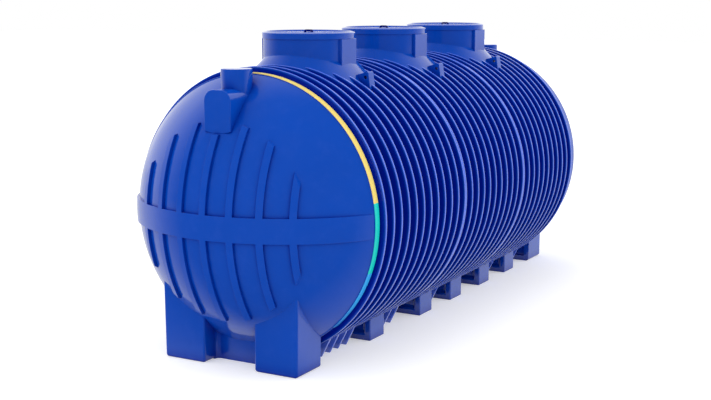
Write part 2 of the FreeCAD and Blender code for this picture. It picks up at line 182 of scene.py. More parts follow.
class TankWallSizes(bpy.types.PropertyGroup):
    """Ribbed wall of the three modules and the rim beside the inlet dome."""
    fin_radius: length("Fin radius", "Outer radius of the fins", FIN_RADIUS)
    wall_radius: length("Wall radius", "Outer radius of the wall between the fins", FIN_RADIUS - FIN_HEIGHT)
    thickness: length("Wall thickness", "Thickness of the moulded wall", 0.012)
    fin_thickness: length("Fin thickness", "Thickness of a fin at its rim", 0.024)
    flange_thickness: length("Flange thickness", "Thickness of a module's end flange", 0.025)
    fin_draft: length("Fin draft", "How much each side of a fin widens at its root", 0.005)
    fin_round: length("Fin rounding", "Rounding along the rims of the fins", 0.0065)
    root_round: length("Root rounding", "Fillet at the roots of the fins", 0.006)
    fins: count("Fins", "Fins of one module, between its flanges", 9)
    rim_length: length("Rim length", "Length of the raised rim beside the inlet dome",
                       extent("rim_stripe_yellow", "x"))
    stripe_thickness: length("Stripe thickness", "Thickness of the coloured stripe on the rim", 0.003)
    shoe_half_foot: length("Shoe half foot", "Half width of the flat shoe under a fin", 0.524)
    shoe_half_top: length("Shoe half top", "Half width of a shoe where it leaves the fin", 0.609)
    shoe_clearance: length("Shoe clearance", "Distance that shoes keep from feet and seams", 0.100)
    steps: count("Turn steps", "Steps in a full turn of the wall", 192)


class TankDomeSizes(bpy.types.PropertyGroup):
    """Domed ends with their belt and ribs."""
    thickness: length("Dome thickness", "Thickness of the moulded dome", 0.012)
    relief: length("Relief", "Height of the belt and the ribs over the dome",
                   DOME_TIP_X - reach("inlet_dome_belt", "x")[0])
    relief_round: length("Relief rounding", "Rounding along the belt and the ribs", 0.003)
    sink: length("Sink", "How deep applied pieces sink into what carries them", 0.004)
    belt_half: length("Belt half height", "Half height of the belt", extent("inlet_dome_belt", "z") / 2)
    belt_taper: direction_angle("Belt taper", "Angle over which the belt runs out to the dome's edge", 20.0)
    rib_width: length("Rib width", "Width of a rib", 0.058)
    rib_pitch: length("Rib pitch", "Distance from rib to rib", 0.231)
    ribs_per_side: count("Ribs per side", "Ribs on each side of the middle rib", 3)
    rib_end: length("Rib end circle", "Distance of the rib ends from the tank's axis", 0.805)
    steps: count("Meridian steps", "Steps from the tip of a dome to its edge", 48)


class TankStubSizes(bpy.types.PropertyGroup):
    """Blank pipe stubs and the bosses in front of them."""
    stub_radius: length("Stub radius", "Radius of the stub's spigot", extent("inlet_stub", "y") / 2)
    spigot: length("Spigot", "Straight length of the spigot", 0.075)
    root_radius: length("Root radius", "Radius of the stub at the foot of the boss", 0.107)
    lip_round: length("Lip rounding", "Rounding of the stub's top edge", 0.008)
    boss_half: length("Boss half width", "Half width of the boss", extent("inlet_boss", "y") / 2)
    boss_corner: length("Boss corner", "Radius of the boss's upper corners", 0.090)
    boss_low: length("Boss foot", "Height of the boss's lower corners over the axis", 0.725)
    boss_sag: length("Boss sag", "Sag of the boss's lower edge", 0.021)
    boss_round: length("Boss rounding", "Rounding along the boss's front edge", 0.010)


class TankManholeSizes(bpy.types.PropertyGroup):
    """Manhole necks, lids and handles."""
    neck_radius: length("Neck radius", "Outer radius of a manhole neck", 0.394)
    neck_wall: length("Neck wall", "Thickness of the neck", 0.012)
    skirt_lift: length("Skirt lift", "Height over the fins where the skirt leaves the neck", 0.075)
    skirt_slope: share("Skirt slope", "Widening of the skirt for its depth", 0.95)
    skirt_reach: length("Skirt reach", "How far the skirt reaches down between the fins", 0.050)
    skirt_round: length("Skirt rounding", "Fillet between the neck and its skirt", 0.007)
    pad_half: length("Pad half width", "Half width of the flat pad on each side of a neck", 0.126)
    pad_low: length("Pad foot", "Height of a pad's foot over the axis", 1.138)
    pad_round: length("Pad rounding", "Rounding along the pads", 0.006)
    lid_rim: length("Lid rim", "Width of the raised rim of a lid", 0.040)
    lid_dish: length("Lid dish", "Depth of the dish in a lid", 0.012)
    lid_slope: length("Lid slope", "How far the rim of a lid falls to its outer edge", 0.013)
    lid_under: length("Lid under rounding", "Rounding of a lid's lower edge", 0.002)
    lid_round: length("Lid rounding", "Rounding of a lid's outer edge", 0.004)
    ring_gap: length("Ring gap", "Gap between a neck and the ring that locates its lid", 0.004)
    ring_wall: length("Ring wall", "Thickness of the ring under a lid", 0.022)
    grip_length: length("Grip length", "Length of the grip pocket along the tank", 0.140)
    grip_width: length("Grip width", "Width of the grip pocket", 0.060)
    grip_depth: length("Grip depth", "Depth of the grip pocket", 0.016)
    grip_round: length("Grip corner", "Corner radius of the grip pocket", 0.014)
    handle_bar: length("Handle bar", "Thickness of a lid handle", 0.018)
    handle_round: length("Handle rounding", "Rounding along a lid handle", 0.003)
    steps: count("Turn steps", "Steps in a full turn of a neck or a lid", 128)


class TankLugSizes(bpy.types.PropertyGroup):
    """Lifting lugs on the middle fin of each module, measured from the tank's axis."""
    root_y: length("Root", "Inner end of a lug", 0.440)
    root_z: length("Root height", "Height of a lug's top at its inner end", 1.085)
    shoulder_y: length("Shoulder", "Where a lug's top ends", 0.602)
    shoulder_z: length("Shoulder height", "Height of a lug where its top ends", 1.134)
    edge_y: length("Edge", "Where a lug's outer face starts", 0.613)
    edge_z: length("Edge height", "Height where a lug's outer face starts", 1.122)
    foot_z: length("Foot height", "Height where a lug's outer face ends", 0.900)
    sink: length("Sink", "How deep a lug reaches below the rims of the fins", 0.030)
    eye_radius: length("Eye radius", "Radius of the eye in a lug", 0.013)
    eye_y: length("Eye place", "Distance of the eye from the middle of the tank", 0.585)
    eye_z: length("Eye height", "Height of the eye over the axis", 1.083)
    rounding: length("Lug rounding", "Rounding along a lug", 0.005)


class TankFootSizes(bpy.types.PropertyGroup):
    """Block feet along the tank and the legs under its ends."""
    inner: length("Foot inner", "Distance of a block foot's inner face from the middle", 0.230)
    frame: length("Foot frame", "Width of the frame round a foot's pocket", 0.055)
    pocket: length("Foot pocket", "Depth of a foot's pocket", 0.035)
    pocket_draft: length("Pocket draft", "How much a block foot's pocket narrows to its back", 0.025)
    rounding: length("Foot rounding", "Rounding along the block feet", 0.010)
    leg_inner: length("Leg inner", "Distance of a leg's inner face from the middle", 0.243)
    leg_outer: length("Leg outer", "Distance of a leg's outer face from the middle, at its foot", 0.646)
    leg_draft: length("Leg draft", "How much a leg widens to its top", 0.012)
    leg_corner: length("Leg corner", "Radius of the lower corners of a leg", 0.028)
    leg_round: length("Leg rounding", "Rounding along the front of a leg", 0.020)
    bar_setback: length("Bar setback", "Setback of the bar between the legs", 0.180)
    bar_fillet: length("Bar fillet", "Hollow corner between the bar and a leg", 0.040)


class TankFinish(bpy.types.PropertyGroup):
    """Colours of the tank, its lids and its stripe."""
    shell: colour("Shell", "Moulded blue of the tank", (0.001, 0.064, 0.47, 1))
    # Painted shade: deeper blue mixed in between the fins and in corners, where shade falls
    painted_shade_blue: colour("Grooves", "Deeper blue between the fins and in corners", (0.0004, 0.012, 0.31, 1))
    # Paler blue of handling marks and of the painted highlight along the fin rims
    shell_worn: colour("Worn shell", "Paler blue of rubbed rims and handling marks", (0.13, 0.23, 0.95, 1))
    lid: colour("Lid", "Moulded blue of the lids", (0.001, 0.064, 0.47, 1))
    handle: colour("Handle", "Dark blue of the lid handles", (0.002, 0.006, 0.09, 1))
    yellow: colour("Stripe yellow", "Yellow length of the stripe", (1.0, 0.76, 0.19, 1))
    teal: colour("Stripe teal", "Teal length of the stripe", (0.004, 0.71, 0.61, 1))
    sky: colour("Stripe sky", "Light blue length of the stripe", (0.035, 0.45, 1.0, 1))
    roughness: share("Roughness", "Roughness of the moulded surface", 0.12)
    handle_roughness: share("Handle roughness", "Roughness of the lid handles", 0.288)


class TankStage(bpy.types.PropertyGroup):
    """Camera, lamps, surroundings and floor."""
    camera_place: bpy.props.FloatVectorProperty(
        name="Camera place", description="Where the camera stands", size=3,
        default=(-10.6122, -5.6202, 3.0304), subtype="TRANSLATION", unit="LENGTH")
    camera_pitch: direction_angle("Camera pitch", "Tilt of the camera from straight down", 80.335)
    camera_turn: direction_angle("Camera turn", "Heading of the camera", -60.803)
    lens: bpy.props.FloatProperty(name="Lens", description="Focal length in millimetres", default=62.69)
    key_strength: strength("Key strength", "Strength of the soft lamp overhead", 0.6)
    key_softness: direction_angle("Key softness", "Angle that the lamp overhead spans", 50.0)
    key_tilt: direction_angle("Key tilt", "Tilt of the lamp overhead from upright", 19.0)
    side_strength: strength("Side strength", "Strength of the soft lamp behind the tank's right side", 1.1)
    side_softness: direction_angle("Side softness", "Angle that the side lamp spans", 60.0)
    side_rise: direction_angle("Side rise", "Height of the side lamp over the horizon", 16.0)
    side_turn: direction_angle("Side turn", "Heading of the side lamp from the tank's length", 50.0)
    glow_from: bpy.props.FloatVectorProperty(
        name="Glow from", description="Where the surroundings are brightest", size=3,
        default=(-0.85, 0.25, 0.10), subtype="DIRECTION")
    glow_dim: strength("Dim surround", "Light from the dimmest part of the surroundings", 0.42)
    glow_bright: strength("Bright surround", "Light from the brightest part of the surroundings", 1.22)
    mirror_front: strength("Front reflection", "What glossy surfaces mirror from the camera's side", 0.13)
    mirror_back: strength("Back reflection", "What glossy surfaces mirror from behind the tank", 1.20)
    mirror_floor: strength("Floor reflection", "What glossy surfaces mirror from the floor round the tank",
                           1.0)
    mirror_turn: direction_angle("Floor turn", "Heading in which the mirrored floor brightens", 17.0)
    floor_bounce: share("Floor bounce", "Share of its light that the floor throws back on the tank", 1.0)
    floor: colour("Floor", "Pale floor", (0.86, 0.86, 0.86, 1))
    floor_lift: share("Floor lift", "Brightness added to the floor as the camera sees it", 0.42)


GROUPS = {"tank_wall": TankWallSizes, "tank_dome": TankDomeSizes, "tank_stub": TankStubSizes,
          "tank_manhole": TankManholeSizes, "tank_lug": TankLugSizes, "tank_foot": TankFootSizes,
          "tank_finish": TankFinish, "tank_stage": TankStage}


def sizes(name):
    """One of the tank's property groups."""
    return getattr(bpy.context.scene, name)


def above_axis(x, radius):
    """A point over the tank's axis."""
    return Vector((x, 0, AXIS_Z + radius))


def round_corners(bm, corners, radius, segments=3):
    """Round corners of an outline."""
    bmesh.ops.bevel(bm, geom=corners, offset=radius, offset_type="OFFSET", segments=segments, profile=0.5,
                    affect="VERTICES", material=-1, clamp_overlap=True)


def join_points(bm, points):
    """Edges from point to point. Returns the vertices."""
    verts = [bm.verts.new(p) for p in points]
    for pair in zip(verts, verts[1:]):
        bm.edges.new(pair)
    return verts


def outline(bm, points, rounding=None, segments=3):
    """Closed outline through the points. rounding gives the radius of each corner that is rounded."""
    corners = join_points(bm, points)
    bm.edges.new((corners[-1], corners[0]))
    for radius in sorted(set((rounding or {}).values())):
        round_corners(bm, [corners[n] for n, r in rounding.items() if r == radius], radius, segments)


def arc(bm, start, centre, axis, angle, steps):
    """Chain of edges from a point turned about an axis. Returns its vertices in order."""
    first = bm.verts.new(start)
    bmesh.ops.spin(bm, geom=[first], cent=centre, axis=axis, dvec=(0, 0, 0), angle=angle, steps=steps)
    chain, last = [first], None
    while True:
        end = chain[-1]
        nexts = [e.other_vert(end) for e in end.link_edges if e.other_vert(end) is not last]
        if not nexts:
            return chain
        last = end
        chain.append(nexts[0])


def everything(bm):
    return bm.verts[:] + bm.edges[:] + bm.faces[:]


def turn_full(bm, centre, axis, steps):
    """Turn everything in the mesh once round an axis and close the seam."""
    bmesh.ops.spin(bm, geom=bm.verts[:] + bm.edges[:], cent=centre, axis=axis, dvec=(0, 0, 0),
                   angle=FULL_TURN, steps=steps, use_merge=True)


def turn_part(bm, centre, axis, angle, steps):
    """Close the outline with a face and turn it through part of a circle into a solid."""
    bmesh.ops.contextual_create(bm, geom=bm.edges[:])
    bmesh.ops.spin(bm, geom=bm.faces[:] + bm.edges[:] + bm.verts[:], cent=centre, axis=axis,
                   dvec=(0, 0, 0), angle=angle, steps=steps)


def push_out(bm, faces, depth):
    """Push faces out into a solid."""
    pushed = bmesh.ops.extrude_face_region(bm, geom=faces)["geom"]
    bmesh.ops.translate(bm, verts=[v for v in pushed if isinstance(v, bmesh.types.BMVert)], vec=depth)


def extrude_outline(bm, depth):
    """Close the outline with a face and push it out into a solid."""
    push_out(bm, bmesh.ops.contextual_create(bm, geom=bm.edges[:])["faces"], depth)


def tidy(bm):
    bmesh.ops.remove_doubles(bm, verts=bm.verts, dist=MERGE)
    bmesh.ops.recalc_face_normals(bm, faces=bm.faces)


def bevel_sharp(bm, radius, segments=3, chosen=None):
    """Round the sharp edges of a solid, or those that are chosen among them."""
    bm.normal_update()
    edges = [e for e in bm.edges if len(e.link_faces) == 2 and e.calc_face_angle() > SHARP_ANGLE
             and (chosen is None or chosen(e))]
    bmesh.ops.bevel(bm, geom=edges, offset=radius, offset_type="OFFSET", segments=segments, profile=0.5,
                    affect="EDGES", material=-1, clamp_overlap=True)


def mirrored(bm, axis):
    """Mirror a mesh across the middle of the tank."""
    bmesh.ops.transform(bm, matrix=Matrix.Scale(-1, 4, axis), verts=bm.verts)
    tidy(bm)


def at_end(bm, end):
    """Bring a mesh that is made at the inlet to its own end of the tank."""
    if end == "outlet":
        mirrored(bm, X_AXIS)


def at_side(bm, side):
    """Bring a mesh that is made on the +Y side to its own side of the tank."""
    if side < 0:
        mirrored(bm, Y_AXIS)


def as_object(bm, name):
    tidy(bm)
    mesh = bpy.data.meshes.new(name)
    bm.to_mesh(mesh)
    bm.free()
    piece = bpy.data.objects.new(name, mesh)
    bpy.context.scene.collection.objects.link(piece)
    return piece


def combine(piece, operation, *tools):
    """Join tools to a piece, or take them away from it, for good."""
    for tool in tools:
        modifier = piece.modifiers.new("combine", "BOOLEAN")
        modifier.operation, modifier.solver, modifier.object = operation, "EXACT", tool
    evaluated = piece.evaluated_get(bpy.context.evaluated_depsgraph_get())
    mesh = bpy.data.meshes.new_from_object(evaluated)
    piece.modifiers.clear()
    old, piece.data = piece.data, mesh
    bpy.data.meshes.remove(old)
    mesh.name = piece.name


def discard(*tools):
    for tool in tools:
        mesh = tool.data
        bpy.data.objects.remove(tool)
        bpy.data.meshes.remove(mesh)


def merge_in(whole, part):
    """Add one mesh to another as a shell of its own."""
    carrier = bpy.data.meshes.new("carrier")
    part.to_mesh(carrier)
    part.free()
    whole.from_mesh(carrier)
    bpy.data.meshes.remove(carrier)


def block(low, high):
    """Mesh of a block between two corners."""
    bm = bmesh.new()
    bmesh.ops.create_cube(bm, size=1.0, matrix=Matrix.Translation((low + high) / 2)
                          @ Matrix.Diagonal((*(high - low), 1.0)))
    return bm


def round_cutter(name, radius, depth, steps, place):
    bm = bmesh.new()
    bmesh.ops.create_cone(bm, cap_ends=True, segments=steps, radius1=radius, radius2=radius, depth=depth,
                          matrix=place)
    return as_object(bm, name)


def drum_cutter(radius):
    """Round cutter about the tank's axis, longer than the tank."""
    turned = Matrix.Translation(above_axis(0, 0)) @ Matrix.Rotation(math.pi / 2, 4, "Y")
    depth = 2 * (CAD_BOX[1].x - CAD_BOX[0].x)
    return round_cutter("drum_cutter", radius, depth, sizes("tank_wall").steps, turned)


def manhole_cutter(x):
    """Upright round cutter for the hole under a neck, from inside the drum to well over it."""
    manhole = sizes("tank_manhole")
    low, high = above_axis(x, FIN_RADIUS / 2), above_axis(x, 2 * FIN_RADIUS)
    return round_cutter("manhole_cutter", manhole.neck_radius - manhole.neck_wall / 2, high.z - low.z,
                        manhole.steps, Matrix.Translation((low + high) / 2))


def dress(piece, finish, slot, *nodes):
    """Finish a piece, hang it on the tank's body and let it stand for its CAD nodes."""
    piece.data.materials.clear()
    piece.data.materials.append(finish)
    piece.data.shade_smooth()
    piece.data.set_sharp_from_angle(angle=SHARP_ANGLE)
    piece.modifiers.new("even_normals", "WEIGHTED_NORMAL").keep_sharp = True
    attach(piece, BODY)
    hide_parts(*nodes)


def node(tree, kind, values=None, links=None, **settings):
    """A shader node with its settings, constant inputs and linked inputs."""
    made = tree.nodes.new(kind)
    for key, value in settings.items():
        setattr(made, key, value)
    for socket, value in (values or {}).items():
        made.inputs[socket].default_value = value
    for socket, source in (links or {}).items():
        tree.links.new(source, made.inputs[socket])
    return made


def remap(tree, value, from_low, from_high, to_low=0.0, to_high=1.0):
    values = {"From Min": from_low, "From Max": from_high, "To Min": to_low, "To Max": to_high}
    return node(tree, "ShaderNodeMapRange", values, {"Value": value}).outputs["Result"]


def noise(tree, coords, scale, detail, roughness=0.55):
    values = {"Scale": scale, "Detail": detail, "Roughness": roughness}
    return node(tree, "ShaderNodeTexNoise", values, {"Vector": coords}).outputs["Fac"]


def patches(tree, coords, pattern, to_low=0.0, to_high=1.0):
    """Noise of a pattern, from one level to another."""
    uneven = noise(tree, coords, pattern.scale, pattern.detail, pattern.roughness)
    return remap(tree, uneven, pattern.low, pattern.high, to_low, to_high)


def multiply(tree, first, second):
    made = node(tree, "ShaderNodeMath", operation="MULTIPLY")
    for socket, source in zip(made.inputs, (first, second)):
        if isinstance(source, float):
            socket.default_value = source
        else:
            tree.links.new(source, socket)
    return made.outputs["Value"]


def vector_math(tree, operation, vector, constant=(0, 0, 0)):
    """Outputs of a node that works on a vector, with a constant one where the operation needs it."""
    return node(tree, "ShaderNodeVectorMath", {1: constant}, {0: vector}, operation=operation).outputs


def along(tree, vector, direction):
    """How far a vector goes along a direction."""
    return vector_math(tree, "DOT_PRODUCT", vector, direction)["Value"]


def mix_colour(tree, factor, first, second):
    """Mix of two colours, each a colour or a socket, by a linked factor."""
    made = node(tree, "ShaderNodeMix", data_type="RGBA")
    tree.links.new(factor, made.inputs["Factor"])
    for name, source in (("A", first), ("B", second)):
        socket = next(s for s in made.inputs if s.name == name and s.type == "RGBA")
        if isinstance(source, bpy.types.NodeSocket):
            tree.links.new(source, socket)
        else:
            socket.default_value = source
    return next(s for s in made.outputs if s.type == "RGBA")


def mix_shader(tree, factor, first, second):
    return node(tree, "ShaderNodeMixShader", links={0: factor, 1: first, 2: second}).outputs[0]


def white_light(tree, kind, level):
    """White light of a background or a surface, at a linked level."""
    return node(tree, kind, {"Color": WHITE}, {"Strength": level}).outputs[0]


def shaded(base, factor):
    """A colour made lighter or darker by a factor."""
    return tuple(min(1.0, c * factor) for c in base[:3]) + (1.0,)


def new_material(name):
    material = bpy.data.materials.new(name)
    material.use_nodes = True
    material.node_tree.nodes.clear()
    return material, material.node_tree


def object_coords(tree):
    return node(tree, "ShaderNodeTexCoord").outputs["Object"]


def orange_peel(tree, coords, fine_scale, strength):
    """Slightly uneven skin of a rotational moulding: a fine peel over long, shallow waves."""
    fine = node(tree, "ShaderNodeBump", {"Strength": strength, "Distance": PEEL_DEPTH},
                {"Height": noise(tree, coords, fine_scale, detail=2.0)})
    waves = node(tree, "ShaderNodeBump", {"Strength": strength, "Distance": WAVE_DEPTH},
                 {"Height": noise(tree, coords, WAVE_SCALE, detail=1.0), "Normal": fine.outputs["Normal"]})
    return waves.outputs["Normal"]


def scuffs(tree, coords):
    """Faint paler patches, as handling leaves them."""
    return patches(tree, coords, SCUFFS, to_high=SCUFF_STRENGTH)


def axis_distance(tree, coords):
    """Distance from the tank's axis."""
    centred = vector_math(tree, "SUBTRACT", coords, above_axis(0, 0))["Vector"]
    across = vector_math(tree, "MULTIPLY", centred, Y_AXIS + Z_AXIS)["Vector"]
    return vector_math(tree, "LENGTH", across)["Value"]


def painted_rim_highlight(tree, coords):
    """Painted highlight along the rims of the fins, in uneven paler patches."""
    rim = remap(tree, axis_distance(tree, coords), FIN_RADIUS - RIM_HIGHLIGHT_FADES, FIN_RADIUS - RIM_HIGHLIGHT_FULL)
    return multiply(tree, rim, patches(tree, coords, RIM_HIGHLIGHT_PATCHES, RIM_HIGHLIGHT_LEAST, RIM_HIGHLIGHT_MOST))


def painted_fin_gap_shade(tree, coords):
    """Painted shade on the sides of the fins and the wall between them, but not on the plain rim and collar
    at the ends.
    """
    depth = remap(tree, axis_distance(tree, coords), FIN_RADIUS - FIN_GAP_SHADE_STARTS, FIN_RADIUS - FIN_GAP_SHADE_FULL)
    place = along(tree, coords, X_AXIS)
    rim_end = DOME_EDGE_X + sizes("tank_wall").rim_length
    behind_rim = remap(tree, place, rim_end, rim_end + FIN_GAP_SHADE_FADE)
    before_collar = remap(tree, place, LAST_FIN_X + FIN_GAP_SHADE_FADE, LAST_FIN_X)
    return multiply(tree, depth, multiply(tree, behind_rim, before_collar))


def painted_corner_shade(tree, coords):
    """Painted shade in corners beside a neighbouring surface."""
    occlusion = node(tree, "ShaderNodeAmbientOcclusion", {"Distance": CORNER_SHADE_REACH}, samples=8)
    return remap(tree, occlusion.outputs["AO"], CORNER_SHADE_OPEN, CORNER_SHADE_CLOSED, to_high=CORNER_SHADE_STRENGTH)


def moulded_plastic(name, base, roughness, wear_and_highlight=scuffs, shade_mask=painted_corner_shade, specular=0.5, peel_scale=170.0,
                    peel=0.03):
    """Glossy polyethylene, faintly cloudy, with flow lines, painted shade where the shade mask says, paler
    blue of handling marks and painted rim highlights, and orange peel.
    """
    look = sizes("tank_finish")
    material, tree = new_material(name)
    coords = object_coords(tree)
    clouds = patches(tree, coords, CLOUDS)
    skin = mix_colour(tree, clouds, shaded(base, CLOUD_DARK), shaded(base, CLOUD_PALE))
    stretched = node(tree, "ShaderNodeMapping", {"Scale": FLOW_STRETCH}, {"Vector": coords})
    flow = patches(tree, stretched.outputs["Vector"], FLOW_LINES, to_high=FLOW_STRENGTH)
    skin = mix_colour(tree, flow, skin, shaded(base, FLOW_DARK))
    # Painted shade: the shade mask darkens the colour towards the shade blue and takes shine away there too
    corner = shade_mask(tree, coords)
    skin = mix_colour(tree, corner, skin, tuple(look.painted_shade_blue))
    # Paler blue: handling marks, and on the ribbed walls a painted highlight along the fin rims
    skin = mix_colour(tree, wear_and_highlight(tree, coords), skin, tuple(look.shell_worn))
    gloss = patches(tree, coords, GLOSS, roughness - GLOSS_BELOW, roughness + GLOSS_ABOVE)
    shine = remap(tree, corner, 0.0, 1.0, specular, CORNER_SHINE * specular)
    shader = node(tree, "ShaderNodeBsdfPrincipled", {"IOR": 1.5},
                  {"Base Color": skin, "Roughness": gloss, "Specular IOR Level": shine,
                   "Normal": orange_peel(tree, coords, peel_scale, peel)})
    node(tree, "ShaderNodeOutputMaterial", links={"Surface": shader.outputs["BSDF"]})
    return material


def printed_stripe(name, base, fade_to=None, heights=None):
    """Satin printed film with fine speckle. A stripe that fades does so over its lower half."""
    material, tree = new_material(name)
    coords = object_coords(tree)
    speckle = patches(tree, coords, FILM_SPECKLE)
    film = mix_colour(tree, speckle, shaded(base, FILM_DARK), shaded(base, FILM_PALE))
    if fade_to is not None:
        low, high = heights
        faded = remap(tree, along(tree, coords, Z_AXIS), (low + high) / 2, low, to_high=FADE_STRENGTH)
        film = mix_colour(tree, faded, film, fade_to)
    gloss = patches(tree, coords, FILM_GLOSS, *FILM_ROUGHNESS)
    peel = orange_peel(tree, coords, fine_scale=240.0, strength=0.03)
    shader = node(tree, "ShaderNodeBsdfPrincipled", {"IOR": 1.46, "Specular IOR Level": 0.4},
                  {"Base Color": film, "Roughness": gloss, "Normal": peel})
    node(tree, "ShaderNodeOutputMaterial", links={"Surface": shader.outputs["BSDF"]})
    return material


def finish_of(name):
    """One of the tank's finishes, made when it is first asked for."""
    known = bpy.data.materials.get(name)
    if known:
        return known
    look = sizes("tank_finish")
    shell, rough = tuple(look.shell), look.roughness
    if name == "shell_blue":
        return moulded_plastic(name, shell, rough)
    if name == "ribbed_blue":
        # The ribbed walls take a painted highlight on the fin rims and painted shade between the fins
        return moulded_plastic(name, shell, rough, painted_rim_highlight, painted_fin_gap_shade)
    if name == "lid_blue":
        return moulded_plastic(name, tuple(look.lid), rough, peel_scale=210.0, peel=0.04)
    if name == "handle_dark_blue":
        return moulded_plastic(name, tuple(look.handle), look.handle_roughness, specular=0.02,
                               peel_scale=300.0, peel=0.06)
    if name == "stripe_sky":
        return printed_stripe(name, tuple(look.sky), shell, reach("rim_stripe_sky", "z"))
    return printed_stripe(name, tuple(getattr(look, name.removeprefix("stripe_"))))


def wall_spans(number):
    """What stands out from one module's wall, in order along the tank, as (low x, high x, radius)."""
    wall = sizes("tank_wall")
    half, centre = MODULE_LENGTH / 2, MODULE_CENTRES[number]
    pitch = (MODULE_LENGTH - wall.flange_thickness) / (wall.fins + 1)
    fin = wall.fin_thickness / 2

    def fin_at(x):
        return (x - fin, x + fin, wall.fin_radius)

    spans = [(centre - half, centre - half + wall.flange_thickness, wall.fin_radius)]
    spans += [fin_at(centre + k * pitch) for k in range(-(wall.fins // 2), wall.fins // 2 + 1)]
    spans += [(centre + half - wall.flange_thickness, centre + half, wall.fin_radius)]
    if number == MODULES[0]:
        rim = (DOME_EDGE_X, DOME_EDGE_X + wall.rim_length, STRIPE_RADIUS - wall.stripe_thickness)
        spans = [rim, fin_at(centre - half + wall.flange_thickness / 2 - pitch)] + spans
    if number == MODULES[-1]:
        spans += [(centre + half, -DOME_EDGE_X, DOME_EDGE_RADIUS)]
    return spans


def wall_section(spans):
    """Points of the ribbed section, and the rounding of each rim and root."""
    wall = sizes("tank_wall")
    inner = wall.wall_radius - wall.thickness
    points, rounding = [(spans[0][0], inner)], {}
    for n, (low, high, radius) in enumerate(spans):
        last = spans[n - 1][1]
        if n and low > last + MERGE:
            rounding.update({len(points): wall.root_round, len(points) + 1: wall.root_round})
            points += [(last + wall.fin_draft, wall.wall_radius), (low - wall.fin_draft, wall.wall_radius)]
        rounding.update({len(points): wall.fin_round, len(points) + 1: wall.fin_round})
        points += [(low, radius), (high, radius)]
    points += [(spans[-1][1], inner)]
    return [above_axis(x, r) for x, r in points], rounding


def shoe_radius(angle):
    """Distance from the axis to the flat-bottomed shoe of a fin, at an angle from straight down."""
    wall = sizes("tank_wall")
    shoulder = math.sqrt(wall.fin_radius**2 - wall.shoe_half_top**2)
    flat = wall.fin_radius / math.cos(angle)
    if flat * math.sin(angle) <= wall.shoe_half_foot:
        return flat
    run, rise = wall.shoe_half_top - wall.shoe_half_foot, wall.fin_radius - shoulder
    offset = wall.shoe_half_foot * rise + wall.fin_radius * run
    return offset / (rise * math.sin(angle) + run * math.cos(angle))


def shod_fins(number, spans):
    """Fins of one module that come down to flat shoes, clear of the feet and of the module seams."""
    wall = sizes("tank_wall")
    spared = [reach(name, "x") for name in frame["nodes"] if name.startswith(f"feet_{number}")]
    spared += [(seam * MODULE_LENGTH / 2, seam * MODULE_LENGTH / 2) for seam in SIDES]
    module_low = MODULE_CENTRES[number] - MODULE_LENGTH / 2 - MERGE

    def clear(x):
        return all(x < a - wall.shoe_clearance or x > b + wall.shoe_clearance for a, b in spared)

    return [(low, high) for low, high, radius in spans
            if radius == wall.fin_radius and low > module_low and clear((low + high) / 2)]


def shape_shoes(bm, fins):
    """Bring fins down to flat shoes."""
    wall = sizes("tank_wall")
    corners = [math.atan2(wall.shoe_half_foot, wall.fin_radius),
               math.asin(wall.shoe_half_top / wall.fin_radius)]
    middle, half_step = (wall.wall_radius + wall.fin_radius) / 2, math.pi / wall.steps
    for vert in bm.verts:
        drop, side = AXIS_Z - vert.co.z, abs(vert.co.y)
        radius, angle = math.hypot(drop, side), math.atan2(side, drop)
        on_shoe = any(low - MERGE < vert.co.x < high + MERGE for low, high in fins)
        if not on_shoe or radius < middle or angle > corners[1] + half_step:
            continue
        angle = next((c for c in corners if abs(angle - c) < half_step), angle)
        weight = min(1.0, (radius - middle) / (wall.fin_radius - middle))
        radius += weight * max(0.0, shoe_radius(min(angle, corners[1])) - wall.fin_radius)
        vert.co.y = math.copysign(radius * math.sin(angle), vert.co.y)
        vert.co.z = AXIS_Z - radius * math.cos(angle)


def dome_meridian(bm, radius, steps):
    """Arc over the inlet dome, from its tip to the plane of its edge."""
    angle = math.acos((DOME_CENTRE.x - DOME_EDGE_X) / radius)
    return arc(bm, DOME_CENTRE - X_AXIS * radius, DOME_CENTRE, Y_AXIS, angle, steps)


def dome_cutter(end):
    """All that a dome takes up, as a cutter for what stands on it."""
    bm = bmesh.new()
    tip = dome_meridian(bm, DOME_RADIUS, sizes("tank_dome").steps)
    back = [bm.verts.new(above_axis(DOME_EDGE_X + DOME_DEPTH, r)) for r in (DOME_EDGE_RADIUS, 0)]
    bm.edges.new((tip[-1], back[0]))
    bm.edges.new(back)
    turn_full(bm, DOME_CENTRE, X_AXIS, sizes("tank_wall").steps)
    at_end(bm, end)
    return as_object(bm, "dome_cutter")


def build_domes():
    """The two domed ends, as shells of even thickness."""
    dome = sizes("tank_dome")
    for end in ENDS:
        bm = bmesh.new()
        outer = dome_meridian(bm, DOME_RADIUS, dome.steps)
        inner = dome_meridian(bm, DOME_RADIUS - dome.thickness, dome.steps)
        bm.edges.new((outer[-1], inner[-1]))
        turn_full(bm, DOME_CENTRE, X_AXIS, sizes("tank_wall").steps)
        at_end(bm, end)
        dress(as_object(bm, f"{end}_dome_shell"), finish_of("shell_blue"), "tank", f"{end}_dome")


def build_walls():
    """The ribbed wall of each module, with its manhole cut out."""
    for number, centre in MODULE_CENTRES.items():
        bm = bmesh.new()
        spans = wall_spans(number)
        outline(bm, *wall_section(spans))
        turn_full(bm, above_axis(0, 0), X_AXIS, sizes("tank_wall").steps)
        tidy(bm)
        shape_shoes(bm, shod_fins(number, spans))
        piece = as_object(bm, f"module_{number}_wall")
        hole = manhole_cutter(centre)
        combine(piece, "DIFFERENCE", hole)
        discard(hole)
        dress(piece, finish_of("ribbed_blue"), "tank",
              *[f"module_{number}_{part}" for part in ("crown", "staves_a", "staves_b", "keel")])


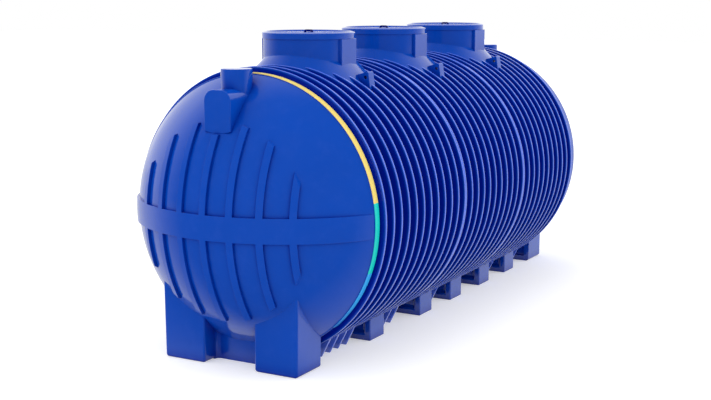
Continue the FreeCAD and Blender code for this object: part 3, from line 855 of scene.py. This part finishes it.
def run_out(bm):
    """Let the belt run out into the dome towards the dome's edge."""
    taper = sizes("tank_dome").belt_taper
    edge = math.acos((DOME_CENTRE.x - DOME_EDGE_X) / DOME_RADIUS)
    # At its end the belt dips a little under the dome's face
    lowest = -0.1
    for vert in bm.verts:
        place = vert.co - DOME_CENTRE
        lift = place.length - DOME_RADIUS
        if lift > 0:
            run = max(0.0, 1.0 - (edge - math.atan2(abs(place.y), -place.x)) / taper)
            lift *= max(lowest, 1.0 - run**2)
            vert.co = DOME_CENTRE + place.normalized() * (DOME_RADIUS + lift)


def build_belts():
    """The level belt round each dome, with rounded edges."""
    dome = sizes("tank_dome")
    # The belt is turned past the dome's edge and cut off there
    half_turn = math.radians(65.0)
    for end in ENDS:
        bm = bmesh.new()
        chains = []
        for radius in (DOME_RADIUS - dome.sink, DOME_RADIUS + dome.relief):
            angle = math.asin(dome.belt_half / radius)
            start = DOME_CENTRE - X_AXIS * (radius * math.cos(angle)) - Z_AXIS * dome.belt_half
            chains.append(arc(bm, start, DOME_CENTRE, Y_AXIS, 2 * angle, steps=6))
        for n in (0, -1):
            bm.edges.new((chains[0][n], chains[1][n]))
        round_corners(bm, [chains[1][0], chains[1][-1]], dome.relief_round)
        bmesh.ops.rotate(bm, cent=DOME_CENTRE, matrix=Matrix.Rotation(-half_turn, 3, "Z"), verts=bm.verts)
        turn_part(bm, DOME_CENTRE, Z_AXIS, 2 * half_turn, steps=144)
        run_out(bm)
        bmesh.ops.bisect_plane(bm, geom=everything(bm), plane_co=(DOME_EDGE_X, 0, 0), plane_no=X_AXIS,
                               clear_outer=True)
        bmesh.ops.holes_fill(bm, edges=[e for e in bm.edges if e.is_boundary])
        at_end(bm, end)
        dress(as_object(bm, f"{end}_belt"), finish_of("shell_blue"), "tank", f"{end}_dome_belt")


def rib_solid(middle, upward, end_circle):
    """One rib from the belt to a circle about the tank's axis, over or under the belt."""
    dome = sizes("tank_dome")
    bm = bmesh.new()
    half = dome.rib_width / 2 / DOME_RADIUS
    inner, outer = DOME_RADIUS - dome.sink, DOME_RADIUS + dome.relief
    left, right = middle - half, middle + half
    corners = [(inner, left), (inner, right), (outer, right), (outer, left)]
    points = [DOME_CENTRE + Vector((-r * math.cos(a), r * math.sin(a), 0)) for r, a in corners]
    outline(bm, points, {2: dome.relief_round, 3: dome.relief_round})
    # Turned through any angle, then drawn out from the belt to the end circle
    sweep = 1.0
    turn_part(bm, DOME_CENTRE, Y_AXIS, sweep, steps=28)
    for vert in bm.verts:
        place = vert.co - DOME_CENTRE
        from_y = math.hypot(place.x, place.z)
        part = math.atan2(place.z, -place.x) / sweep
        start = math.asin((dome.belt_half - dome.sink) / from_y)
        end = math.asin(math.sqrt(end_circle**2 - place.y**2) / from_y)
        angle = start + part * (end - start)
        vert.co.x = DOME_CENTRE.x - from_y * math.cos(angle)
        vert.co.z = DOME_CENTRE.z + from_y * math.sin(angle) * upward
    return bm


def build_ribs():
    """Upright ribs over and under the belt of each dome. The middle upper one stops at the boss's foot."""
    dome, stub = sizes("tank_dome"), sizes("tank_stub")
    for end in ENDS:
        whole = bmesh.new()
        for n in range(-dome.ribs_per_side, dome.ribs_per_side + 1):
            middle = math.asin(n * dome.rib_pitch / DOME_RADIUS)
            for upward in (1.0, -1.0):
                below_boss = n == 0 and upward > 0
                end_circle = stub.boss_low - stub.boss_sag if below_boss else dome.rib_end
                rib = rib_solid(middle, upward, end_circle)
                tidy(rib)
                merge_in(whole, rib)
        at_end(whole, end)
        dress(as_object(whole, f"{end}_ribs"), finish_of("shell_blue"), "tank", f"{end}_dome_ribs")


def boss_solid():
    """Boss with a round-cornered top and a sagging underside."""
    stub = sizes("tank_stub")
    x, half = reach("inlet_boss", "x")[0], stub.boss_half
    low, high = AXIS_Z + stub.boss_low, reach("inlet_boss", "z")[1]
    sag_radius = (half**2 + stub.boss_sag**2) / (2 * stub.boss_sag)
    bm = bmesh.new()
    bottom = arc(bm, (x, -half, low), (x, 0, low - stub.boss_sag + sag_radius), X_AXIS,
                 2 * math.asin(half / sag_radius), steps=10)
    top = join_points(bm, [(x, half, high), (x, -half, high)])
    bm.edges.new((bottom[-1], top[0]))
    bm.edges.new((top[1], bottom[0]))
    round_corners(bm, top, stub.boss_corner, segments=12)
    extrude_outline(bm, X_AXIS * (DOME_EDGE_X - x))
    tidy(bm)
    bevel_sharp(bm, stub.boss_round, segments=4, chosen=lambda e: all(v.co.x < x + MERGE for v in e.verts))
    return bm


def stub_solid(end):
    """Blank pipe stub: a straight spigot with a rounded lip on a root that narrows downwards."""
    stub = sizes("tank_stub")
    x, top = sum(reach(f"{end}_stub", "x")) / 2, reach(f"{end}_stub", "z")[1]
    low, shoulder = AXIS_Z + stub.boss_low, top - stub.lip_round - stub.spigot
    points = [(0, low), (stub.root_radius, low), (stub.stub_radius, shoulder), (stub.stub_radius, top),
              (0, top)]
    bm = bmesh.new()
    outline(bm, [Vector((x + r, 0, z)) for r, z in points], {3: stub.lip_round}, segments=4)
    turn_full(bm, (x, 0, 0), Z_AXIS, steps=96)
    return bm


def build_stubs():
    """A boss and a pipe stub on each dome, cut to the dome's face."""
    for end in ENDS:
        boss = boss_solid()
        at_end(boss, end)
        pieces = {"boss": as_object(boss, f"{end}_boss_moulding"),
                  "stub": as_object(stub_solid(end), f"{end}_stub_moulding")}
        cutter = dome_cutter(end)
        combine(pieces["stub"], "DIFFERENCE", cutter, pieces["boss"])
        combine(pieces["boss"], "DIFFERENCE", cutter)
        discard(cutter)
        for part, piece in pieces.items():
            dress(piece, finish_of("shell_blue"), "tank", f"{end}_{part}")


def build_stripe():
    """Coloured stripe down one side of the inlet rim, in three lengths."""
    low, high = reach("rim_stripe_yellow", "x")
    thick = sizes("tank_wall").stripe_thickness
    inner = STRIPE_RADIUS - 2 * thick
    corners = [(low, inner), (high, inner), (high, STRIPE_RADIUS), (low, STRIPE_RADIUS)]
    section = [above_axis(x, radius) for x, radius in corners]
    start = 0.0
    for name in ("yellow", "teal", "sky"):
        lowest = reach(f"rim_stripe_{name}", "z")[0] - AXIS_Z
        end = math.acos(max(lowest / STRIPE_RADIUS, -1.0))
        bm = bmesh.new()
        outline(bm, section, {2: thick / 2, 3: thick / 2}, segments=2)
        bmesh.ops.rotate(bm, cent=above_axis(0, 0), matrix=Matrix.Rotation(start, 3, "X"), verts=bm.verts)
        turn_part(bm, above_axis(0, 0), X_AXIS, end - start, steps=64)
        dress(as_object(bm, f"stripe_{name}"), finish_of(f"stripe_{name}"), f"rim_stripe_{name}",
              f"rim_stripe_{name}")
        start = end


def on_cylinder(radius, y):
    """Height over the axis of a level cylinder along the tank."""
    return math.sqrt(radius**2 - y**2)


def skirt_edge(sine):
    """Radius and height of the skirt's lower edge between the fins, for the sine of its bearing."""
    manhole, wall = sizes("tank_manhole"), sizes("tank_wall")
    radius = manhole.neck_radius
    top = on_cylinder(wall.fin_radius, radius * sine) + manhole.skirt_lift
    for _ in range(SETTLE_ROUNDS):
        height = on_cylinder(wall.fin_radius - manhole.skirt_reach, radius * sine)
        radius = (radius + manhole.neck_radius + (top - height) * manhole.skirt_slope) / 2
    return radius, height


def neck_solid(x):
    """Neck with its foot on the inner wall and a flared skirt that follows the drum between the fins."""
    manhole, wall = sizes("tank_manhole"), sizes("tank_wall")
    outer, bore = manhole.neck_radius, manhole.neck_radius - manhole.neck_wall
    skirt_seat, foot_seat = wall.fin_radius - manhole.skirt_reach, wall.wall_radius - wall.thickness
    seats = {"under": skirt_seat, "foot": foot_seat, "bore_foot": foot_seat}
    # The marked rings go to their own places on the drum after the turn
    flare, skirt_drop, foot_drop = 1.2, 0.9, 0.8
    marks = {"skirt": (outer * flare, skirt_seat * skirt_drop), "under": (outer, skirt_seat * skirt_drop),
             "foot": (outer, foot_seat * foot_drop), "bore_foot": (bore, foot_seat * foot_drop)}
    skirt_top = wall.fin_radius + manhole.skirt_lift
    points = [(bore, NECK_TOP - AXIS_Z), (outer, NECK_TOP - AXIS_Z), (outer, skirt_top), *marks.values()]
    bm = bmesh.new()
    outline(bm, [Vector((x + r, 0, AXIS_Z + z)) for r, z in points], {2: manhole.skirt_round}, segments=4)
    turn_full(bm, (x, 0, 0), Z_AXIS, manhole.steps)
    for vert in bm.verts:
        radius, height = math.hypot(vert.co.x - x, vert.co.y), vert.co.z - AXIS_Z
        if abs(height - skirt_top) < 2 * manhole.skirt_round:
            vert.co.z -= wall.fin_radius - on_cylinder(wall.fin_radius, vert.co.y)
        near = [m for m, (r, z) in marks.items() if abs(r - radius) + abs(z - height) < MARK_REACH]
        if not near:
            continue
        cosine, sine = (vert.co.x - x) / radius, vert.co.y / radius
        if near == ["skirt"]:
            radius, height = skirt_edge(sine)
        else:
            height = on_cylinder(seats[near[0]], radius * sine)
        vert.co = Vector((x + radius * cosine, radius * sine, AXIS_Z + height))
    return bm


def pad_solid(x, side):
    """Flat pad on one side of a neck."""
    manhole = sizes("tank_manhole")
    radius = manhole.neck_radius - manhole.neck_wall / 2
    face_y, low = extent("manhole_lid_1", "y") / 2, AXIS_Z + manhole.pad_low
    angle = math.asin(manhole.pad_half / radius)
    bm = bmesh.new()
    start = (x - manhole.pad_half, radius * math.cos(angle), low)
    back = arc(bm, start, (x, 0, low), Z_AXIS, -2 * angle, steps=10)
    front = join_points(bm, [(x + manhole.pad_half, face_y, low), (x - manhole.pad_half, face_y, low)])
    bm.edges.new((back[-1], front[0]))
    bm.edges.new((front[1], back[0]))
    extrude_outline(bm, Z_AXIS * (NECK_TOP - low))
    tidy(bm)
    bevel_sharp(bm, manhole.pad_round, chosen=lambda e: all(v.co.y > face_y - MERGE for v in e.verts))
    at_side(bm, side)
    return bm


def build_necks():
    """Manhole necks with their skirts and pads."""
    for number, x in MODULE_CENTRES.items():
        piece = as_object(neck_solid(x), f"manhole_{number}_neck")
        pads = [as_object(pad_solid(x, side), "pad") for side in SIDES]
        combine(piece, "UNION", *pads)
        discard(*pads)
        dress(piece, finish_of("shell_blue"), "tank", f"manhole_neck_{number}")


def grip_pocket(x):
    """Cutter for the grip pocket in a lid's dish."""
    manhole = sizes("tank_manhole")
    half = Vector((manhole.grip_length / 2, manhole.grip_width / 2, 0))
    top = reach("manhole_lid_1", "z")[1]
    low = top - manhole.lid_dish - manhole.grip_depth
    bm = block(Vector((x, 0, low)) - half, Vector((x, 0, top)) + half)
    bevel_sharp(bm, manhole.grip_round, segments=5,
                chosen=lambda e: abs(e.verts[0].co.z - e.verts[1].co.z) > MERGE)
    bevel_sharp(bm, manhole.handle_round, segments=2,
                chosen=lambda e: all(v.co.z < low + MERGE for v in e.verts))
    return as_object(bm, "grip_pocket")


def build_lids():
    """Lids with a sloping rim, a shallow dish, a grip pocket and the ring that locates each in its neck."""
    manhole = sizes("tank_manhole")
    low, top = reach("manhole_lid_1", "z")
    radius = extent("manhole_lid_1", "x") / 2
    ring = manhole.neck_radius - manhole.neck_wall - manhole.ring_gap
    ring_inner, dish = ring - manhole.ring_wall, radius - manhole.lid_rim
    edge_z, dish_z = top - manhole.lid_slope, top - manhole.lid_dish
    points = [(0, NECK_TOP), (ring_inner, NECK_TOP), (ring_inner, low), (ring, low), (ring, NECK_TOP),
              (radius, NECK_TOP), (radius, edge_z), (dish, top), (dish - manhole.lid_dish, dish_z),
              (0, dish_z)]
    rounding = {5: manhole.lid_under, 6: manhole.lid_round, 7: manhole.lid_round, 8: manhole.lid_round}
    for number, x in MODULE_CENTRES.items():
        bm = bmesh.new()
        outline(bm, [Vector((x + r, 0, z)) for r, z in points], rounding, segments=5)
        turn_full(bm, (x, 0, 0), Z_AXIS, manhole.steps)
        piece, pocket = as_object(bm, f"manhole_{number}_lid"), grip_pocket(x)
        combine(piece, "DIFFERENCE", pocket)
        discard(pocket)
        dress(piece, finish_of("lid_blue"), "lid", f"manhole_lid_{number}")


def build_handles():
    """Low bridge handles over the grip pockets of the lids."""
    manhole = sizes("tank_manhole")
    bar, grip = manhole.handle_bar, manhole.grip_width / 2
    low, top = reach("manhole_lid_1", "z")[1] - manhole.lid_dish, reach("lid_handle_1", "z")[1]
    half, depth = extent("lid_handle_1", "y") / 2, extent("lid_handle_1", "x")
    points = [(-half, low), (-grip, low), (-grip, top - bar), (grip, top - bar),
              (grip, low), (half, low), (half - bar / 2, top), (bar / 2 - half, top)]
    inside, outside = bar / 3, bar * 0.6
    rounding = {2: inside, 3: inside, 6: outside, 7: outside}
    for number, x in MODULE_CENTRES.items():
        bm = bmesh.new()
        outline(bm, [Vector((x - depth / 2, y, z)) for y, z in points], rounding, segments=4)
        extrude_outline(bm, X_AXIS * depth)
        tidy(bm)
        bevel_sharp(bm, manhole.handle_round)
        dress(as_object(bm, f"manhole_{number}_handle"), finish_of("handle_dark_blue"), "lid_handle",
              f"lid_handle_{number}")


def lug_solid(x, side):
    """Ear over the middle fin, with an eye along the tank."""
    lug = sizes("tank_lug")
    outer, thick = reach("lifting_lugs_1", "y")[1], extent("lifting_lugs_1", "x")
    ear = [(lug.root_y, lug.foot_z), (lug.root_y, lug.root_z), (lug.shoulder_y, lug.shoulder_z),
           (lug.edge_y, lug.edge_z), (outer, lug.foot_z)]
    bm = bmesh.new()
    outline(bm, [Vector((x - thick / 2, y, AXIS_Z + z)) for y, z in ear])
    bmesh.ops.create_circle(bm, segments=24, radius=lug.eye_radius,
                            matrix=Matrix.Translation((x - thick / 2, lug.eye_y, AXIS_Z + lug.eye_z))
                            @ Matrix.Rotation(math.pi / 2, 4, "Y"))
    filled = bmesh.ops.triangle_fill(bm, use_beauty=True, edges=bm.edges[:])["geom"]
    push_out(bm, [f for f in filled if isinstance(f, bmesh.types.BMFace)], X_AXIS * thick)
    tidy(bm)
    bevel_sharp(bm, lug.rounding)
    at_side(bm, side)
    tidy(bm)
    return bm


def build_lugs():
    """A pair of lifting lugs beside each manhole, seated on the fins."""
    drum = drum_cutter(FIN_RADIUS - sizes("tank_lug").sink)
    for number in MODULES:
        x = sum(reach(f"lifting_lugs_{number}", "x")) / 2
        whole = bmesh.new()
        for side in SIDES:
            merge_in(whole, lug_solid(x, side))
        piece = as_object(whole, f"manhole_{number}_lugs")
        combine(piece, "DIFFERENCE", drum)
        dress(piece, finish_of("shell_blue"), "tank", f"lifting_lugs_{number}")
    discard(drum)


def foot_block(low, high):
    """Block foot between two corners, with a pocket in its front and back faces."""
    foot = sizes("tank_foot")
    bm = block(low, high)
    cuts = [(Vector((0, low.y + foot.frame, 0)), Y_AXIS), (Vector((0, high.y - foot.frame, 0)), Y_AXIS),
            (Vector((0, 0, low.z + foot.frame)), Z_AXIS)]
    for place, normal in cuts:
        bmesh.ops.bisect_plane(bm, geom=everything(bm), plane_co=place, plane_no=normal)

    def within_frame(face):
        centre = face.calc_center_median()
        return centre.z > low.z + foot.frame and low.y + foot.frame < centre.y < high.y - foot.frame

    middle = (low.y + high.y) / 2
    for outward in SIDES:
        bm.normal_update()
        chosen = [f for f in bm.faces if f.normal.x * outward > FACING and within_frame(f)]
        pushed = bmesh.ops.extrude_discrete_faces(bm, faces=chosen)["faces"]
        for vert in {v for f in pushed for v in f.verts}:
            vert.co.x -= outward * foot.pocket
            vert.co.y += math.copysign(foot.pocket_draft, middle - vert.co.y)
            vert.co.z += foot.pocket_draft if vert.co.z < high.z - MERGE else 0.0
    tidy(bm)
    bevel_sharp(bm, foot.rounding, chosen=lambda e: min(v.co.z for v in e.verts) < high.z - MERGE)
    return bm


def build_side_feet():
    """Pairs of block feet under the modules, hollowed at the front and the back and seated on the fins."""
    drum, inner = drum_cutter(FIN_RADIUS), sizes("tank_foot").inner
    for name in sorted(name for name in frame["nodes"] if name.startswith("feet_")):
        low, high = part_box(name)
        whole = bmesh.new()
        for side in SIDES:
            foot = foot_block(Vector((low.x, inner, low.z)), Vector((high.x, high.y, AXIS_Z)))
            at_side(foot, side)
            merge_in(whole, foot)
        piece = as_object(whole, f"{name}_blocks")
        combine(piece, "DIFFERENCE", drum)
        dress(piece, finish_of("shell_blue"), "tank", name)
    discard(drum)


def leg_solid(front, back, top, side):
    """One leg, round at its foot and along its front, tall enough to run into the dome."""
    foot = sizes("tank_foot")
    points = [(foot.leg_inner, 0), (foot.leg_outer, 0), (foot.leg_outer + foot.leg_draft, top),
              (foot.leg_inner, top)]
    bm = bmesh.new()
    outline(bm, [Vector((front, y, z)) for y, z in points], {0: foot.leg_corner, 1: foot.leg_corner},
            segments=6)
    extrude_outline(bm, X_AXIS * (back - front))
    tidy(bm)
    bevel_sharp(bm, foot.leg_round, segments=5,
                chosen=lambda e: all(v.co.x < front + MERGE for v in e.verts)
                and min(v.co.z for v in e.verts) < top - MERGE)
    at_side(bm, side)
    return as_object(bm, "leg")


def leg_pocket(back, top, side):
    """Cutter for the pocket in the back face of a leg."""
    foot = sizes("tank_foot")
    bm = block(Vector((back - foot.pocket, foot.leg_inner + foot.frame, foot.frame)),
               Vector((back + foot.pocket, foot.leg_outer - foot.frame, top)))
    at_side(bm, side)
    return as_object(bm, "leg_pocket")


def bar_solid(front, back, top):
    """Bar between the legs, set back from their front, with a hollow corner to each leg."""
    foot = sizes("tank_foot")
    bar, inner, root = front + foot.bar_setback, foot.leg_inner, foot.leg_inner + foot.leg_corner
    step = bar - foot.bar_fillet
    half = [(back, root), (step, root), (step, inner), (bar, inner)]
    points = half + [(x, -y) for x, y in reversed(half)]
    bm = bmesh.new()
    outline(bm, [Vector((x, y, 0)) for x, y in points], {3: foot.bar_fillet, 4: foot.bar_fillet}, segments=6)
    extrude_outline(bm, Z_AXIS * top)
    return as_object(bm, "bar")


def build_end_feet():
    """The foot under each dome: two legs with a pocket at the back, and the bar between them."""
    low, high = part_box("inlet_foot")
    top = AXIS_Z - sizes("tank_dome").belt_half
    cutter = dome_cutter("inlet")
    for end in ENDS:
        piece = bar_solid(low.x, high.x, top)
        legs = [leg_solid(low.x, high.x, top, side) for side in SIDES]
        pockets = [leg_pocket(high.x, top, side) for side in SIDES]
        combine(piece, "UNION", *legs)
        combine(piece, "DIFFERENCE", *pockets, cutter)
        discard(*legs, *pockets)
        if end == "outlet":
            turned = bmesh.new()
            turned.from_mesh(piece.data)
            mirrored(turned, X_AXIS)
            turned.to_mesh(piece.data)
            turned.free()
        piece.name = f"{end}_foot_moulding"
        dress(piece, finish_of("shell_blue"), "tank", f"{end}_foot")
    discard(cutter)


def build_camera():
    stage = sizes("tank_stage")
    camera = bpy.data.objects.new("camera", bpy.data.cameras.new("camera"))
    camera.data.lens = stage.lens
    camera.location = stage.camera_place
    camera.rotation_euler = (stage.camera_pitch, 0, stage.camera_turn)
    bpy.context.scene.collection.objects.link(camera)
    bpy.context.scene.camera = camera


def away_from_camera():
    """Level direction from the camera past the tank."""
    turn = sizes("tank_stage").camera_turn
    return Vector((-math.sin(turn), math.cos(turn), 0))


def build_world():
    """Soft surroundings, brighter to the left of the dome and white to the camera. Glossy surfaces see them
    dimmer on the camera's side."""
    stage = sizes("tank_stage")
    world = bpy.data.worlds.new("surroundings")
    bpy.context.scene.world = world
    world.use_nodes = True
    world.cycles.sampling_method = "NONE"
    tree = world.node_tree
    tree.nodes.clear()
    direction = node(tree, "ShaderNodeTexCoord").outputs["Generated"]
    path = node(tree, "ShaderNodeLightPath").outputs
    towards_glow = along(tree, direction, stage.glow_from)
    glow = remap(tree, towards_glow, -1.0, 1.0, stage.glow_dim, stage.glow_bright)
    behind_tank = along(tree, direction, away_from_camera())
    mirror = remap(tree, behind_tank, *SKY_BRIGHTENS, stage.mirror_front, stage.mirror_back)
    lit = mix_shader(tree, path["Is Glossy Ray"], white_light(tree, "ShaderNodeBackground", glow),
                     white_light(tree, "ShaderNodeBackground", mirror))
    white = node(tree, "ShaderNodeBackground", {"Color": WHITE, "Strength": 1.0}).outputs[0]
    both = mix_shader(tree, path["Is Camera Ray"], lit, white)
    node(tree, "ShaderNodeOutputWorld", links={"Surface": both})


def floor_mirror(tree, coords):
    """How bright glossy surfaces see the floor, by its bearing from a place under the inlet dome."""
    stage = sizes("tank_stage")
    heading = Vector((math.cos(stage.mirror_turn), math.sin(stage.mirror_turn), 0))
    from_dome = vector_math(tree, "SUBTRACT", coords, MIRROR_CENTRE)["Vector"]
    distance = vector_math(tree, "LENGTH", from_dome)["Value"]
    spread = node(tree, "ShaderNodeMath", {1: MIRROR_BLUR}, {0: distance}, operation="ADD").outputs["Value"]
    bearing = node(tree, "ShaderNodeMath", links={0: along(tree, from_dome, heading), 1: spread},
                   operation="DIVIDE").outputs["Value"]
    return remap(tree, bearing, *FLOOR_BRIGHTENS, stage.mirror_front, stage.mirror_floor)


def build_floor():
    """Pale floor that keeps the tank's shadow. Glossy surfaces see it dimmer on the camera's side."""
    stage = sizes("tank_stage")
    bm = bmesh.new()
    bmesh.ops.create_grid(bm, x_segments=1, y_segments=1, size=FLOOR_HALF)
    floor = as_object(bm, "floor")
    material, tree = new_material("pale_floor")
    coords = object_coords(tree)
    path = node(tree, "ShaderNodeLightPath").outputs
    grain = patches(tree, coords, FLOOR_GRAIN)
    tint = mix_colour(tree, grain, shaded(stage.floor, FLOOR_DARK), tuple(stage.floor))
    tint = mix_colour(tree, path["Is Diffuse Ray"], tint, shaded(stage.floor, stage.floor_bounce))
    matt = node(tree, "ShaderNodeBsdfDiffuse", links={"Color": tint}).outputs[0]
    lift = white_light(tree, "ShaderNodeEmission", multiply(tree, path["Is Camera Ray"], stage.floor_lift))
    seen = node(tree, "ShaderNodeAddShader", links={0: matt, 1: lift}).outputs[0]
    mirror = white_light(tree, "ShaderNodeEmission", floor_mirror(tree, coords))
    both = mix_shader(tree, path["Is Glossy Ray"], seen, mirror)
    node(tree, "ShaderNodeOutputMaterial", links={"Surface": both})
    floor.data.materials.append(material)


def build_lamp(name, energy, softness, turned):
    """Wide soft lamp with no hot spot of its own."""
    lamp = bpy.data.lights.new(name, "SUN")
    lamp.energy, lamp.angle = energy, softness
    holder = bpy.data.objects.new(name, lamp)
    holder.location = above_axis(0, 3 * FIN_RADIUS)
    holder.rotation_euler = turned
    holder.visible_glossy = False
    bpy.context.scene.collection.objects.link(holder)


def build_lamps():
    """A lamp overhead, tilted away from the camera's side, and one low behind the tank's right side."""
    stage = sizes("tank_stage")
    build_lamp("key", stage.key_strength, stage.key_softness, (-stage.key_tilt, 0, 0))
    build_lamp("side", stage.side_strength, stage.side_softness,
               (0, math.pi / 2 - stage.side_rise, -stage.side_turn))


def build_stage():
    """Camera at the photograph's view, two soft lamps, pale surroundings and a pale floor."""
    bpy.context.scene.view_settings.view_transform = "Standard"
    build_camera()
    build_world()
    build_floor()
    build_lamps()


class TANK_OT_stage(bpy.types.Operator):
    """Set the camera, the lamps, the surroundings and the floor"""
    bl_idname = "tank.stage"
    bl_label = "Stage"

    def execute(self, context):
        build_stage()
        return {"FINISHED"}


class TANK_OT_walls(bpy.types.Operator):
    """Build the ribbed walls of the three modules"""
    bl_idname = "tank.walls"
    bl_label = "Ribbed walls"

    def execute(self, context):
        build_walls()
        return {"FINISHED"}


class TANK_OT_domes(bpy.types.Operator):
    """Build the two domed ends"""
    bl_idname = "tank.domes"
    bl_label = "Domes"

    def execute(self, context):
        build_domes()
        return {"FINISHED"}


class TANK_OT_belts(bpy.types.Operator):
    """Build the belt round each dome"""
    bl_idname = "tank.belts"
    bl_label = "Belts"

    def execute(self, context):
        build_belts()
        return {"FINISHED"}


class TANK_OT_ribs(bpy.types.Operator):
    """Build the upright ribs of the domes"""
    bl_idname = "tank.ribs"
    bl_label = "Dome ribs"

    def execute(self, context):
        build_ribs()
        return {"FINISHED"}


class TANK_OT_stubs(bpy.types.Operator):
    """Build the pipe stubs and their bosses"""
    bl_idname = "tank.stubs"
    bl_label = "Stubs and bosses"

    def execute(self, context):
        build_stubs()
        return {"FINISHED"}


class TANK_OT_stripe(bpy.types.Operator):
    """Build the coloured stripe on the inlet rim"""
    bl_idname = "tank.stripe"
    bl_label = "Rim stripe"

    def execute(self, context):
        build_stripe()
        return {"FINISHED"}


class TANK_OT_necks(bpy.types.Operator):
    """Build the manhole necks"""
    bl_idname = "tank.necks"
    bl_label = "Manhole necks"

    def execute(self, context):
        build_necks()
        return {"FINISHED"}


class TANK_OT_lids(bpy.types.Operator):
    """Build the manhole lids"""
    bl_idname = "tank.lids"
    bl_label = "Manhole lids"

    def execute(self, context):
        build_lids()
        return {"FINISHED"}


class TANK_OT_handles(bpy.types.Operator):
    """Build the lid handles"""
    bl_idname = "tank.handles"
    bl_label = "Lid handles"

    def execute(self, context):
        build_handles()
        return {"FINISHED"}


class TANK_OT_lugs(bpy.types.Operator):
    """Build the lifting lugs"""
    bl_idname = "tank.lugs"
    bl_label = "Lifting lugs"

    def execute(self, context):
        build_lugs()
        return {"FINISHED"}


class TANK_OT_side_feet(bpy.types.Operator):
    """Build the block feet along the tank"""
    bl_idname = "tank.side_feet"
    bl_label = "Block feet"

    def execute(self, context):
        build_side_feet()
        return {"FINISHED"}


class TANK_OT_end_feet(bpy.types.Operator):
    """Build the feet under the domes"""
    bl_idname = "tank.end_feet"
    bl_label = "End feet"

    def execute(self, context):
        build_end_feet()
        return {"FINISHED"}


OPERATORS = (TANK_OT_stage, TANK_OT_walls, TANK_OT_domes, TANK_OT_belts, TANK_OT_ribs, TANK_OT_stubs,
             TANK_OT_stripe, TANK_OT_necks, TANK_OT_lids, TANK_OT_handles, TANK_OT_lugs, TANK_OT_side_feet,
             TANK_OT_end_feet)


class TANK_PT_sidebar(bpy.types.Panel):
    """Lists the tank's pieces in the 3D view's sidebar"""
    bl_idname = "TANK_PT_sidebar"
    bl_label = "Ribbed storage tank"
    bl_space_type = "VIEW_3D"
    bl_region_type = "UI"
    bl_category = "Tank"

    def draw(self, context):
        for operator in OPERATORS:
            self.layout.operator(operator.bl_idname)


CLASSES = (*GROUPS.values(), *OPERATORS, TANK_PT_sidebar)


def register():
    for cls in CLASSES:
        bpy.utils.register_class(cls)
    for name, group in GROUPS.items():
        setattr(bpy.types.Scene, name, bpy.props.PointerProperty(type=group))


def unregister():
    for name in GROUPS:
        delattr(bpy.types.Scene, name)
    for cls in reversed(CLASSES):
        bpy.utils.unregister_class(cls)


def main():
    register()
    for operator in OPERATORS:
        group, name = operator.bl_idname.split(".")
        getattr(getattr(bpy.ops, group), name)()


if __name__ == "__main__":
    main()
